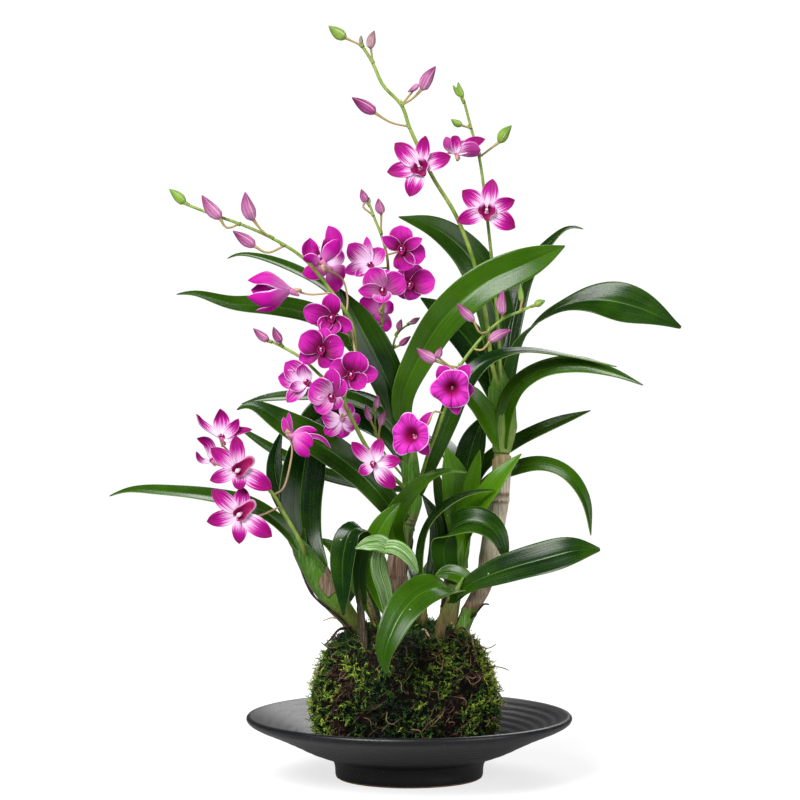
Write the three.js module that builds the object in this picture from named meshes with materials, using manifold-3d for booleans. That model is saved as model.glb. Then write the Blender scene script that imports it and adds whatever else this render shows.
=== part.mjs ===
// A dendrobium orchid growing in a ball of moss that stands in a shallow footed dish of black stoneware.
// Millimetres, +Z up, the origin on the table under the centre of the dish's foot.
// The front of the plant faces -Y.
import * as THREE from "three";
import { mergeVertices } from "three/addons/utils/BufferGeometryUtils.js";
import Module from "manifold-3d";

const wasm = await Module();
wasm.setup();

// Dish
const DISH_RADIUS = 106;
const DISH_HEIGHT = 41;
const FOOT_RADIUS = 48.5;
const FOOT_HEIGHT = 8.5;
const FLOOR_HEIGHT = 14;
const FLOOR_RADIUS = 50;
const DISH_SIDES = 34;

// Moss ball
const BALL_OFFSET = -3;
const BALL_SIDES = 24;
const TUFT_HEIGHT = 1.8;

// Blades, stems and blooms
const LEAF_THICKNESS = 1.3;
const EDGE_THICKNESS = 0.7;
const LEAF_STEP = 24;
const TEPAL_THICKNESS = 0.9;
const STEM_SIDES = 5;
const CANE_SIDES = 7;
const BUD_SIDES = 5;
const PEDICEL_RADIUS = 0.8;
const ROOT_RADIUS = 0.8;
const GAP = 0.4;

// The plant is laid out as it shows from the front. A point is [across, depth, up]: where it shows from
// this viewpoint on the upright plane through the dish's centre, and how far behind that plane it lies.
const EYE = new THREE.Vector3(-6, -2000, 331);

function seen([across, depth, up]) {
  const reach = 1 - depth / EYE.y;
  return new THREE.Vector3(across, 0, up).sub(EYE).multiplyScalar(reach).add(EYE);
}

// A leaf: points along its midrib from base to tip, its width, and the way its upper side faces on the way.
// A cane or stem: points along it and its radius at each of them.
const LEFT_SHOOT = {
  stem: [
    [[-24, -10, 78], [-36, -13, 100], [-49, -16, 116], [-61, -18, 133], [-70, -18, 148]],
    [4.5, 5.5, 8, 8, 6],
  ],
  leaves: [
    [
      [
        [-66, -18, 142], [-84, -22, 165], [-103, -26, 177], [-128, -28, 183], [-155, -24, 186],
        [-183, -18, 187], [-195, -16, 183],
      ],
      16,
      [[0.4, -0.8, 0.5], [0, -0.5, 0.9], [0, -0.4, 0.9]],
    ],
    [
      [[-58, -12, 134], [-68, -4, 156], [-71, 0, 178], [-68, 4, 203], [-64, 8, 230]],
      29,
      [[0.2, -1, 0.1], [0.1, -1, 0.1], [0.1, -1, 0.1]],
    ],
    [
      [[-67, -16, 141], [-75, 4, 168], [-86, 12, 192], [-87, 16, 210], [-82, 18, 227]],
      13,
      [[-0.2, -1, 0.1], [-0.2, -1, 0.1], [0, -1, 0.1]],
    ],
  ],
};

const CENTRE_CANE = [
  [[-10, 0, 78], [-9, 0, 112], [-8, 0, 135], [-5, 0, 152], [-2, 0, 165]],
  [5, 6.2, 6.4, 6.4, 5.8],
];
const CENTRE_SHOOT = {
  stem: [[[-2, 0, 165], [2, 0, 180], [1, 2, 200], [-2, 3, 220], [-4, 2, 236]], [6, 5.6, 5.2, 4.6, 3.6]],
  leaves: [
    [
      [
        [-3, 0, 226], [-4, -8, 250], [4, -16, 276], [20, -24, 297], [42, -28, 314], [68, -30, 329],
        [101, -26, 345],
      ],
      28,
      [[-0.2, -1, 0.1], [0.2, -1, 0.3], [0.1, -1, 0.3]],
    ],
    [
      [[-4, 0, 224], [-10, -6, 248], [-20, -11, 271], [-31, -14, 292], [-45, -14, 318]],
      25,
      [[0.2, -1, 0.2], [0.2, -1, 0.3], [0.2, -1, 0.4]],
    ],
    [
      [
        [-4, 4, 228], [-15, 14, 260], [-31, 19, 294], [-50, 20, 316], [-72, 16, 329], [-96, 12, 338],
        [-112, 8, 340], [-118, 6, 337],
      ],
      13,
      [[0.2, -1, 0.2], [0.2, -0.6, 0.8], [0.2, -0.5, 0.9]],
    ],
    [
      [
        [-4, 2, 222], [-18, 4, 256], [-36, 4, 284], [-60, 1, 300], [-86, -2, 306], [-115, -5, 308],
        [-140, -8, 315], [-151, -10, 314],
      ],
      17,
      [[0.3, -1, 0.2], [0.1, -0.8, 0.6], [0, -0.7, 0.7]],
    ],
    [
      [[-3, 6, 218], [-22, 19, 239], [-46, 22, 248], [-75, 16, 248], [-96, 2, 246], [-109, -6, 243]],
      13,
      [[0.2, -0.8, 0.6], [0.1, -0.6, 0.8], [0, -0.5, 0.9]],
    ],
    [
      [
        [-1, 0, 158], [-11, -12, 174], [-30, -21, 196], [-55, -26, 215], [-82, -26, 231], [-104, -22, 243],
        [-112, -20, 239],
      ],
      25,
      [[0.3, -1, 0.3], [0.4, -0.9, 0.5], [0.2, -0.8, 0.6]],
    ],
    [
      [[-2, 6, 206], [-14, 26, 228], [-38, 36, 240], [-60, 38, 233], [-76, 34, 212]],
      27,
      [[0, -0.9, 0.4], [0.1, -0.9, 0.4], [-0.2, -0.9, 0.3]],
    ],
    [
      [[0, 4, 186], [-28, 28, 190], [-60, 36, 199], [-88, 34, 213], [-115, 28, 231]],
      11,
      [[0.2, -0.8, 0.6], [0.2, -0.7, 0.6], [0.2, -0.7, 0.7]],
    ],
    [
      [
        [-4, -3, 148], [-11, -16, 162], [-8, -23, 174], [3, -28, 188], [17, -32, 198], [28, -32, 200],
        [38, -30, 198],
      ],
      13,
      [[-0.4, -1, 0.2], [0.5, -0.9, 0.3], [0.2, -0.5, 0.9]],
    ],
    [
      [
        [5, -3, 184], [15, -12, 208], [25, -20, 232], [34, -23, 254], [49, -23, 270], [72, -23, 277],
        [102, -21, 274], [135, -17, 267],
      ],
      20,
      [[0.5, -1, 0.2], [0, -0.7, 0.7], [0, -0.3, 1]],
    ],
    [
      [[-1, 6, 196], [-10, 38, 226], [-20, 74, 241], [-28, 110, 228]],
      20,
      [[0, 0.3, 1], [0, 0.2, 1], [0, 0.7, 0.7]],
    ],
  ],
};

const SMALL_SHOOT = {
  stem: [[[25, 8, 78], [28, 6, 110], [31, 4, 130], [35, 3, 148], [36, 3, 156]], [3.6, 4.6, 4.8, 4.2, 3]],
  leaves: [
    [
      [
        [31, 2, 124], [20, -8, 136], [17, -16, 151], [28, -24, 165], [43, -29, 165], [54, -32, 155],
        [58, -33, 143],
      ],
      19,
      [[0.2, 0.9, 0.3], [0.2, -0.1, 0.9], [0.7, -0.8, 0.3]],
    ],
    [
      [[34, 2, 142], [35, 0, 156], [42, -5, 172], [52, -8, 187], [62, -9, 200], [73, -7, 211]],
      15,
      [[-0.4, -0.9, 0.2], [-0.5, -0.8, 0.3], [-0.4, -0.9, 0.3]],
    ],
    [
      [[35, 4, 148], [32, 11, 168], [31, 12, 188], [24, 10, 215]],
      20,
      [[0.1, -1, 0], [0.1, -1, 0], [0.1, -1, 0]],
    ],
    [
      [[36, 3, 150], [38, 5, 172], [41, 5, 192], [46, 4, 214]],
      11,
      [[-0.2, -1, 0], [-0.2, -1, 0], [-0.2, -1, 0]],
    ],
    [
      [[32, 6, 140], [24, 17, 168], [20, 19, 186], [16, 19, 204]],
      10,
      [[-0.3, -1, 0], [-0.3, -1, 0], [-0.3, -1, 0]],
    ],
  ],
};

const THIN_SHOOT = {
  stem: [[[8, -6, 78], [9, -6, 104], [9, -6, 122]], [2.6, 2.8, 2.2]],
  leaves: [
    [
      [[9, -6, 118], [7, -9, 144], [13, -13, 166], [28, -15, 180], [43, -15, 186], [56, -13, 187]],
      9,
      [[-0.5, -0.6, 0.4], [-0.5, -0.5, 0.8], [0, -0.5, 0.9]],
    ],
    [
      [[10, -5, 116], [16, 4, 138], [18, 8, 153], [17, 10, 168], [8, 10, 185]],
      12,
      [[0.4, -1, 0.1], [0.4, -0.9, 0.1], [0.4, -0.9, 0.3]],
    ],
  ],
};

const RIGHT_CANE = [
  [
    [28, 8, 78], [38, 8, 106], [48, 8, 125], [52, 8, 145], [55, 8, 163], [58, 8, 182], [60, 8, 200],
    [60, 8, 211],
  ],
  [4.6, 5, 5.6, 6.4, 7.2, 7.6, 7, 6.2],
];
const RIGHT_SHOOT = {
  stem: [[[60, 8, 211], [61, 8, 228], [60, 8, 244], [59, 8, 256]], [6.6, 7, 6, 4]],
  leaves: [
    [
      [
        [61, 3, 214], [62, -1, 236], [70, -8, 254], [87, -14, 265], [108, -18, 268], [132, -16, 263],
        [152, -12, 255],
      ],
      17,
      [[-0.4, -1, 0.1], [-0.2, -0.6, 0.8], [0, -0.5, 0.9]],
    ],
    [
      [[59, 4, 214], [50, -4, 234], [41, -9, 247], [30, -9, 258]],
      18,
      [[0.4, -0.9, 0.4], [0.4, -0.8, 0.5], [0.3, -0.9, 0.4]],
    ],
    [
      [
        [62, 10, 240], [66, 14, 262], [71, 16, 282], [84, 13, 299], [102, 8, 307], [122, 3, 309],
        [146, -2, 305], [176, -8, 292],
      ],
      28,
      [[-0.5, 0.9, 0.2], [-0.2, 0.3, 1], [0, -0.9, 0.5], [0.1, -0.9, 0.4]],
    ],
    [
      [[58, 11, 240], [50, 20, 266], [36, 26, 287], [20, 28, 303], [7, 26, 312]],
      24,
      [[0.3, -1, 0.2], [0.3, -0.9, 0.3], [0.3, -0.9, 0.3]],
    ],
    [
      [[59, 12, 244], [57, 28, 278], [50, 38, 307], [33, 40, 336], [11, 36, 356], [-8, 30, 361]],
      24,
      [[0.2, -1, 0.2], [0.4, -0.8, 0.4], [0.4, -0.7, 0.6]],
    ],
    [
      [
        [61, 12, 244], [64, 26, 274], [68, 36, 300], [75, 42, 325], [89, 44, 345], [104, 42, 358],
        [113, 40, 356],
      ],
      15,
      [[-0.2, -1, 0], [-0.3, -0.8, 0.4], [-0.3, -0.3, 0.9]],
    ],
    [
      [[60, 13, 236], [54, 44, 262], [47, 76, 272], [42, 108, 258]],
      20,
      [[0, 0.3, 1], [0, 0.2, 1], [0, 0.7, 0.7]],
    ],
  ],
};

const BACK_CANE = [[[20, 30, 78], [27, 34, 120], [33, 35, 150], [37, 34, 172]], [4.2, 5.2, 5.6, 5]];
const BACK_SHOOT = {
  stem: [[[37, 34, 172], [39, 33, 184], [40, 32, 194]], [5, 4.6, 3]],
  leaves: [
    [
      [[38, 33, 178], [47, 30, 202], [67, 27, 217], [91, 22, 229], [118, 18, 239]],
      12,
      [[-0.2, -0.9, 0.4], [-0.2, -0.7, 0.6], [-0.2, -0.7, 0.6]],
    ],
    [
      [
        [39, 32, 176], [52, 30, 193], [69, 25, 201], [86, 18, 204], [102, 10, 198], [114, 4, 181],
        [118, 0, 157],
      ],
      13,
      [[0, -0.7, 0.7], [0.2, -0.8, 0.7], [0.8, -0.6, 0.2]],
    ],
    [
      [[39, 30, 178], [37, 24, 198], [41, 22, 217], [48, 22, 236]],
      19,
      [[0, -1, 0.1], [0, -1, 0.1], [0, -1, 0.1]],
    ],
    [
      [[38, 37, 182], [28, 62, 208], [14, 88, 222], [4, 116, 212]],
      20,
      [[0, 0.3, 1], [0, 0.3, 1], [0, 0.8, 0.6]],
    ],
  ],
};

const FRONT_SHOOT = {
  stem: [[[18, -28, 78], [21, -29, 100], [26, -31, 112], [29, -32, 118]], [3, 3.4, 3.2, 2.4]],
  leaves: [
    [
      [
        [23, -29, 104], [31, -30, 115], [43, -35, 124], [62, -44, 132], [88, -52, 141], [110, -54, 146],
        [125, -52, 148],
      ],
      23,
      [[0.1, -0.9, 0.4], [0, -0.9, 0.5], [0, -0.9, 0.5]],
    ],
    [
      [
        [27, -31, 112], [30, -42, 123], [20, -56, 128], [4, -66, 120], [-7, -74, 104], [-13, -79, 86],
        [-14, -82, 66],
      ],
      28,
      [[-0.4, 0.3, 0.9], [-0.3, -0.8, 0.6], [-0.4, -1, 0.1]],
    ],
    [
      [[28, -31, 113], [34, -22, 126], [23, -13, 131], [14, -13, 129]],
      12,
      [[0, -0.9, 0.4], [0, -0.9, 0.5], [0, -0.9, 0.5]],
    ],
    [
      [[24, -31, 108], [14, -35, 120], [5, -38, 134], [-6, -46, 147], [-19, -51, 152], [-36, -53, 149]],
      14,
      [[0.2, -0.9, 0.4], [0.2, -0.8, 0.6], [0, -0.8, 0.6]],
    ],
  ],
};

const YOUNG_SHOOT = {
  stem: [[[-13, -27, 78], [-14, -28, 100], [-15, -29, 112]], [2.8, 3, 2.4]],
  leaves: [
    [
      [[-14, -29, 106], [-22, -31, 130], [-23, -32, 150], [-17, -32, 166], [-5, -32, 180]],
      15,
      [[0.1, -1, 0.1], [0, -1, 0.1], [0.1, -1, 0.2]],
    ],
  ],
};

const DROOPING_SHOOT = {
  stem: [[[-28, -32, 80], [-27, -36, 104], [-26, -38, 122]], [2.6, 3, 2.4]],
  leaves: [
    [
      [
        [-26, -38, 116], [-26, -40, 146], [-32, -42, 162], [-40, -43, 160], [-45, -43, 140],
        [-43, -44, 120], [-41, -46, 104],
      ],
      17,
      [[0.4, -0.9, 0.1], [0, -0.6, 0.8], [-0.4, -1, 0.2]],
    ],
  ],
};

const LOW_LEFT_SHOOT = {
  stem: [[[-20, 6, 78], [-22, 6, 100], [-25, 5, 110]], [2.8, 3.2, 2.6]],
  leaves: [
    [
      [[-23, 6, 104], [-31, 5, 122], [-41, 3, 139], [-51, 0, 151], [-60, -2, 156]],
      14,
      [[0.2, -0.9, 0.4], [0.2, -0.9, 0.4], [0.2, -0.8, 0.6]],
    ],
    [
      [[-22, 8, 100], [-30, 40, 122], [-36, 74, 130], [-40, 104, 112]],
      18,
      [[0, 0.3, 1], [0, 0.2, 1], [0, 0.8, 0.6]],
    ],
  ],
};

const LOW_BACK_SHOOT = {
  stem: [[[4, 26, 78], [5, 27, 104], [6, 28, 116]], [2.8, 3.2, 2.6]],
  leaves: [
    [
      [[5, 28, 108], [0, 56, 132], [-6, 88, 140], [-10, 120, 124]],
      19,
      [[0, 0.3, 1], [0, 0.2, 1], [0, 0.8, 0.6]],
    ],
    [
      [[6, 28, 110], [16, 54, 134], [28, 82, 146], [38, 108, 136]],
      18,
      [[0, 0.3, 1], [0, 0.2, 1], [0, 0.8, 0.6]],
    ],
  ],
};

// Flower stems: points along the stem and its radius, then the buds it carries.
// A bud: its base, its tip, its greatest width, and the points of its stalk down to the flower stem.
const SPRAYS = {
  spray_upper_left: {
    stem: [
      [
        [2, 0, 184], [-12, -24, 197], [-25, -36, 211], [-35, -42, 229], [-42, -45, 246], [-38, -42, 262],
        [-35, -38, 278], [-38, -34, 297], [-52, -33, 318], [-68, -33, 337], [-88, -31, 350],
        [-108, -27, 359], [-128, -21, 366], [-146, -15, 373],
      ],
      1.4,
    ],
    buds: [
      [[-145, -15, 373], [-155, -14, 382], 7, [[-143, -16, 372]]],
      [[-122, -29, 363], [-134, -30, 378], 9, [[-118, -28, 357], [-110, -27, 359]]],
      [[-101, -34, 362], [-106, -37, 380], 9.5, [[-96, -33, 356], [-89, -31, 350]]],
      [[-100, -38, 345], [-114, -40, 355], 8, [[-92, -37, 341], [-81, -32, 345]]],
    ],
  },
  spray_left: {
    stem: [
      [
        [-42, -45, 246], [-49, -47, 254], [-58, -48, 262], [-70, -47, 273], [-82, -44, 280],
        [-90, -42, 284],
      ],
      1.2,
    ],
    buds: [
      [[-91, -42, 284], [-101, -42, 292], 6, [[-89, -42, 283.6]]],
      [[-83, -46, 283], [-88, -47, 293], 6, [[-82, -44, 280]]],
    ],
  },
  spray_middle: {
    stem: [
      [
        [-4, 2, 232], [-11, 2, 262], [-17, -4, 290], [-17, -12, 305], [-14, -18, 322], [-14, -20, 336],
        [-18, -20, 352], [-22, -18, 362], [-26, -16, 373],
      ],
      1.1,
    ],
    buds: [
      [[-28, -17, 373.5], [-31, -18, 382], 5.5, [[-30, -17, 371], [-23, -17, 365]]],
      [[-26, -16, 372.5], [-26, -16, 377], 2.6, [[-25, -16, 371]]],
      [[-18, -22, 366], [-20, -23, 376], 6.5, [[-18, -20, 353]]],
    ],
  },
  spray_small: {
    stem: [[[-4, 2, 234], [-9, -1, 262], [-11, -4, 276], [-8, -6, 288], [-3, -6, 293], [1, -6, 295]], 0.8],
    buds: [
      [[1, -6, 295], [7, -6, 299], 4, [[-1, -6, 294]]],
      [[-7, -7, 291], [-5, -8, 298], 4.5, [[-8, -6, 287]]],
      [[-6, -8, 281], [1, -10, 287], 4.5, [[-10, -5, 279]]],
    ],
  },
  spray_tall: {
    stem: [
      [
        [59, 6, 248], [53, -2, 272], [51, -2, 290], [48, -3, 310], [42, -6, 334], [35, -9, 354],
        [28, -11, 369], [15, -13, 390], [5, -14, 411], [0, -14, 422], [-5, -14, 436], [-17, -12, 449],
        [-24, -10, 464], [-31, -8, 475],
      ],
      1.5,
    ],
    buds: [
      [[-41, -9, 479], [-52, -10, 487], 8, [[-31, -8, 474]]],
      [[-31, -8, 475], [-31, -8, 481], 3, [[-30.6, -8, 474]]],
      [[-25, -13, 472.5], [-22.5, -14, 484], 6.5, [[-23.5, -10.5, 463]]],
      [[8, -18, 446], [17, -20, 461], 8.5, [[3, -17, 441], [-4.6, -14, 436]]],
      [[6, -19, 449.5], [-1, -20, 444.5], 4, [[8, -18, 447]]],
      [[-22, -19, 431], [-37, -21, 441], 8.5, [[-12, -17, 425], [-0.6, -14, 422]]],
    ],
  },
  spray_straight: {
    stem: [
      [
        [60, 6, 250], [58, 1, 284], [56, 2, 310], [53, -1, 340], [51, -3, 358], [48, -5, 384],
        [45, -6, 403], [40, -4, 421], [35, -2, 440],
      ],
      1.2,
    ],
    buds: [
      [[34.6, -2, 441], [31.5, -2, 451], 4.2, [[35, -2, 439]]],
      [[33, -2, 441.5], [28, -2, 449], 3.6, [[35.4, -2.4, 438]]],
      [[34, -7, 423], [27, -8, 427], 5, [[40, -4, 421]]],
      [[58, -9, 412], [66, -10, 423], 7.5, [[46, -6, 402.5]]],
    ],
  },
  spray_right: {
    stem: [
      [
        [2, 0, 186], [8, -16, 197], [12, -29, 210], [19, -42, 228], [25, -48, 245], [31, -50, 264],
        [41, -50, 279], [52, -48, 291], [62, -46, 299], [72, -43, 303], [80, -40, 307],
      ],
      1.2,
    ],
    buds: [
      [[81, -40, 307], [88, -39, 310], 5, [[79, -40, 306.6]]],
      [[73, -44, 309], [72, -45, 321], 4, [[71.6, -43, 303]]],
      [[60, -49, 301], [61, -51, 317], 6.8, [[60, -46.5, 298]]],
      [[42, -54, 297], [31, -57, 308], 6.5, [[46, -52, 289], [51, -48.4, 290]]],
      [[52, -55, 284], [66, -58, 291], 7, [[47, -53, 278], [41, -50, 279]]],
      [[17, -52, 271], [5, -55, 279], 8, [[25, -51, 268], [32.4, -50, 267]]],
      [[18, -53, 273], [21, -55, 280], 5, [[16, -52, 271.4]]],
    ],
  },
  spray_low_left: {
    stem: [
      [
        [-67, -22, 144], [-70, -30, 152], [-76, -32, 163], [-82, -34, 173], [-88, -37, 184],
        [-98, -37, 194], [-108, -36, 203], [-117, -37, 212],
      ],
      1.5,
    ],
    buds: [],
  },
  spray_centre: {
    stem: [
      [[1, 0, 190], [-9, -14, 202], [-16, -25, 211], [-20, -29, 219], [-22, -30, 229], [-22, -30, 239]],
      0.8,
    ],
    buds: [
      [[-22, -30, 240], [-20, -30, 249], 4.5, [[-22, -30, 238]]],
      [[-25, -31, 232], [-28, -32, 243], 4.5, [[-21, -29.6, 223]]],
      [[-19, -31, 229], [-15, -32, 239], 5, [[-20.4, -29, 220]]],
    ],
  },
};

// Blooms: centre, the way the flower faces, turn of its upper sepal in degrees, breadth,
// how far it is open, its form, and the points of its stalk down to the flower stem.
const BLOOMS = {
  bloom_star_top: [
    [7, -24, 396],
    [-0.15, -1, 0.05],
    47,
    42,
    0.92,
    "star",
    [[11, -16, 397], [13.4, -14.6, 395]],
  ],
  bloom_star_second: [[50, -14, 368], [0, -1, 0], -9, 40, 0.92, "star", [[50, -6, 366]]],
  bloom_star_left: [
    [-112, -56, 200],
    [0.1, -1, 0.1],
    115,
    40,
    0.9,
    "star",
    [[-106, -48, 199], [-98, -38, 194]],
  ],
  bloom_star_low: [
    [-110, -54, 171],
    [0.05, -1, 0.05],
    105,
    41,
    0.9,
    "star",
    [[-100, -46, 170], [-84, -35, 176]],
  ],
  bloom_star_upright: [
    [-122, -46, 226],
    [-0.2, -0.45, 0.85],
    20,
    30,
    0.6,
    "star",
    [[-121, -42, 216], [-116, -37, 211]],
  ],
  bloom_star_hidden: [
    [-132, -38, 209],
    [-0.7, -0.3, 0.7],
    60,
    26,
    0.35,
    "star",
    [[-121, -36, 203], [-108, -36, 203]],
  ],
  bloom_star_centre: [
    [-23, -50, 204],
    [-0.3, -1, 0.1],
    -35,
    34,
    0.85,
    "star",
    [[-23, -43, 206], [-23.4, -38.6, 207.4]],
  ],
  bloom_cup_top: [
    [34, -16, 409],
    [-0.6, -0.4, 0.7],
    80,
    28,
    0.3,
    "star",
    [[29, -15, 407], [11, -13.4, 406]],
  ],
  bloom_bell_upper: [
    [-56, -42, 345],
    [-0.4, -0.5, 0.75],
    30,
    28,
    0.35,
    "round",
    [[-58, -37, 336], [-59.6, -34.8, 331]],
  ],
  bloom_back_upper: [
    [-51, -20, 331],
    [0.2, 0.9, 0.2],
    160,
    28,
    0.75,
    "round",
    [[-44, -27, 325], [-40, -29, 312], [-37.6, -29.6, 303]],
  ],
  bloom_bell_left: [
    [-88, -36, 315],
    [-0.95, -0.25, 0.1],
    70,
    30,
    0.3,
    "round",
    [[-77, -33, 317], [-64, -32.6, 314], [-50.4, -32.6, 315]],
  ],
  bloom_round_upper: [
    [-50, -48, 299],
    [-0.3, -0.9, -0.1],
    5,
    31,
    0.7,
    "round",
    [[-46, -42, 292], [-39.6, -38, 285.6]],
  ],
  bloom_round_left: [
    [-57, -58, 278],
    [-0.1, -1, 0.1],
    -8,
    31,
    0.85,
    "round",
    [[-62, -53, 274], [-68, -48.6, 271.6]],
  ],
  bloom_round_centre: [
    [-38, -66, 262],
    [0, -1, 0],
    -12,
    29,
    0.85,
    "round",
    [[-35, -48, 270], [-36.6, -40, 286], [-38.4, -33.4, 297.6]],
  ],
  bloom_round_lower: [
    [-54, -62, 249],
    [-0.35, -0.9, -0.25],
    25,
    29,
    0.65,
    "round",
    [[-49, -55, 247], [-46.6, -50.8, 245]],
  ],
  bloom_pale_left: [
    [-74, -54, 258],
    [-0.75, -0.5, 0.35],
    20,
    27,
    0.6,
    "round",
    [[-66, -52, 258], [-61.6, -50.4, 264.6]],
  ],
  bloom_back_lower: [
    [-44, -34, 233],
    [-0.1, 0.8, -0.5],
    170,
    28,
    0.75,
    "round",
    [[-42, -42, 235], [-40.6, -45.4, 236.4]],
  ],
  bloom_round_top: [
    [-5, -34, 343],
    [-0.1, -1, 0.1],
    18,
    30,
    0.85,
    "round",
    [[-9, -26, 341], [-14.6, -21.2, 339.6]],
  ],
  bloom_round_right: [
    [0, -28, 320],
    [0.1, -1, 0.1],
    -20,
    28,
    0.8,
    "round",
    [[-5, -22, 325], [-12.6, -20.2, 329]],
  ],
  bloom_round_middle: [
    [-17, -40, 319],
    [-0.3, -0.9, -0.2],
    15,
    28,
    0.7,
    "round",
    [[-15, -30, 320], [-14.6, -20.4, 321]],
  ],
  bloom_pale_middle: [
    [-30, -28, 339],
    [-0.5, -0.7, 0.4],
    15,
    27,
    0.65,
    "round",
    [[-23, -22, 334], [-16, -20.4, 331]],
  ],
  bloom_back_middle: [
    [-21, -6, 301],
    [0, 0.9, -0.2],
    175,
    26,
    0.75,
    "round",
    [[-19, -12, 302], [-18.2, -12.2, 302]],
  ],
  bloom_nodding: [
    [-72, -50, 221],
    [0.5, -0.6, -0.3],
    200,
    27,
    0.35,
    "star",
    [[-75, -48, 214], [-77, -45, 199], [-82, -41, 188], [-86.4, -39, 184.6]],
  ],
  bloom_cup_centre: [
    [4, -52, 224],
    [-0.75, -0.65, -0.1],
    10,
    27,
    0.5,
    "round",
    [[13, -49, 232], [16, -48, 238], [21, -46, 237]],
  ],
  bloom_cup_right: [
    [28, -60, 256],
    [-0.2, -0.9, -0.3],
    -25,
    28,
    0.6,
    "round",
    [[29, -54, 258], [29.2, -51.6, 258]],
  ],
};

// Height and radius of the moss ball from its underside to its crown.
const BALL_OUTLINE = [
  [FLOOR_HEIGHT + GAP, 38], [20, 50], [29, 58], [40, 60.5], [51, 61], [61, 59.5], [71, 56.5], [80, 52.5],
  [88, 47], [94, 38], [97.5, 23], [98.5, 9],
];

// Roots that stand free of the moss.
const AERIAL_ROOTS = [
  [[-34, -16, 92], [-46, -24, 105], [-60, -27, 116], [-67, -27, 127], [-70, -27, 134]],
  [[-38, -20, 98], [-46, -28, 96], [-50, -34, 91], [-55, -38, 86]],
  [[-52, -26, 110], [-62, -29, 118], [-68, -30, 128]],
];
// Solids

function solid(geometry) {
  const bare = new THREE.BufferGeometry();
  bare.setAttribute("position", geometry.attributes.position);
  bare.setIndex(geometry.index);
  const merged = mergeVertices(bare, 1e-4);
  return new wasm.Manifold(
    new wasm.Mesh({
      numProp: 3,
      vertProperties: new Float32Array(merged.attributes.position.array),
      triVerts: new Uint32Array(merged.index.array),
    }),
  );
}

function surface(manifold) {
  const mesh = manifold.getMesh();
  const geometry = new THREE.BufferGeometry();
  geometry.setAttribute("position", new THREE.BufferAttribute(new Float32Array(mesh.vertProperties), 3));
  geometry.setIndex(new THREE.BufferAttribute(new Uint32Array(mesh.triVerts), 1));
  geometry.computeVertexNormals();
  return geometry;
}

function union(solids) {
  return solids.reduce((sum, next) => sum.add(next));
}

// The largest body of a solid, without the loose scraps that a cut may leave.
function mainBody(manifold) {
  const bodies = manifold.decompose();
  return bodies.reduce((best, next) => (next.volume() > best.volume() ? next : best));
}

// Collects rings of points and the faces between them into one closed solid.
function skin() {
  const points = [];
  const faces = [];
  const quad = (a, b, c, d) => faces.push(a, b, c, a, c, d);
  return {
    add(ring) {
      points.push(...ring);
      return ring.map((_, i) => points.length - ring.length + i);
    },
    bridge(from, to, isOpen = () => false) {
      from.forEach((corner, j) => {
        const next = (j + 1) % from.length;
        if (!isOpen(j)) quad(corner, from[next], to[next], to[j]);
      });
    },
    cap(ring, facesBack = false) {
      for (let j = 1; j + 1 < ring.length; j++) {
        if (facesBack) faces.push(ring[0], ring[j + 1], ring[j]);
        else faces.push(ring[0], ring[j], ring[j + 1]);
      }
    },
    close() {
      const geometry = new THREE.BufferGeometry().setFromPoints(points);
      geometry.setIndex(faces);
      const made = solid(geometry);
      if (made.volume() > 0) return made;
      geometry.setIndex(faces.toReversed());
      return solid(geometry);
    },
  };
}

// A closed solid through rings of equally many points, with a flat face at each end.
function loft(rings) {
  const made = skin();
  const added = rings.map((ring) => made.add(ring));
  made.cap(added[0], true);
  for (let i = 0; i + 1 < added.length; i++) made.bridge(added[i], added[i + 1]);
  made.cap(added.at(-1));
  return made.close();
}

function frameAt(curve, u, facing) {
  const centre = curve.getPointAt(u);
  const ahead = curve.getTangentAt(u);
  const normal = facing.clone().addScaledVector(ahead, -facing.dot(ahead)).normalize();
  const side = new THREE.Vector3().crossVectors(ahead, normal);
  return { centre, normal, side };
}

function mixed(list, u) {
  const place = Math.min(u, 0.9999) * (list.length - 1);
  const i = Math.floor(place);
  return list[i].clone().lerp(list[i + 1], place - i);
}

// Share of a leaf's width at u: from a narrow clasping base through its widest place to a pointed tip.
function leafWidth(u, base = 0.42, widest = 0.48) {
  if (u < widest) return base + (1 - base) * Math.sin((Math.PI / 2) * (u / widest));
  return Math.max(0.07, Math.cos((Math.PI / 2) * ((u - widest) / (1 - widest)) ** 1.5));
}

// How far a leaf's edges stand above its midrib, as a share of half its width.
function leafFold(u) {
  return 0.18 + 0.5 * Math.max(0, 1 - u / 0.3) ** 2;
}

function leaf([points, width, facings], extra = 0) {
  const curve = new THREE.CatmullRomCurve3(points.map(seen), false, "centripetal");
  const hints = facings.map((f) => new THREE.Vector3(...f));
  const steps = Math.max(4, Math.round(curve.getLength() / LEAF_STEP));
  const rings = [];
  for (let i = 0; i <= steps; i++) {
    const u = i / steps;
    const { centre, normal, side } = frameAt(curve, u, mixed(hints, u));
    const half = (leafWidth(u) * width) / 2 + extra;
    const lift = leafFold(u) * half;
    const place = (across, up) => centre.clone().addScaledVector(side, across).addScaledVector(normal, up);
    rings.push([
      place(0, LEAF_THICKNESS / 2 + extra),
      place(-half, lift + EDGE_THICKNESS / 2 + extra),
      place(-half, lift - EDGE_THICKNESS / 2 - extra),
      place(0, -LEAF_THICKNESS / 2 - extra),
      place(half, lift - EDGE_THICKNESS / 2 - extra),
      place(half, lift + EDGE_THICKNESS / 2 + extra),
    ]);
  }
  return loft(rings);
}

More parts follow.
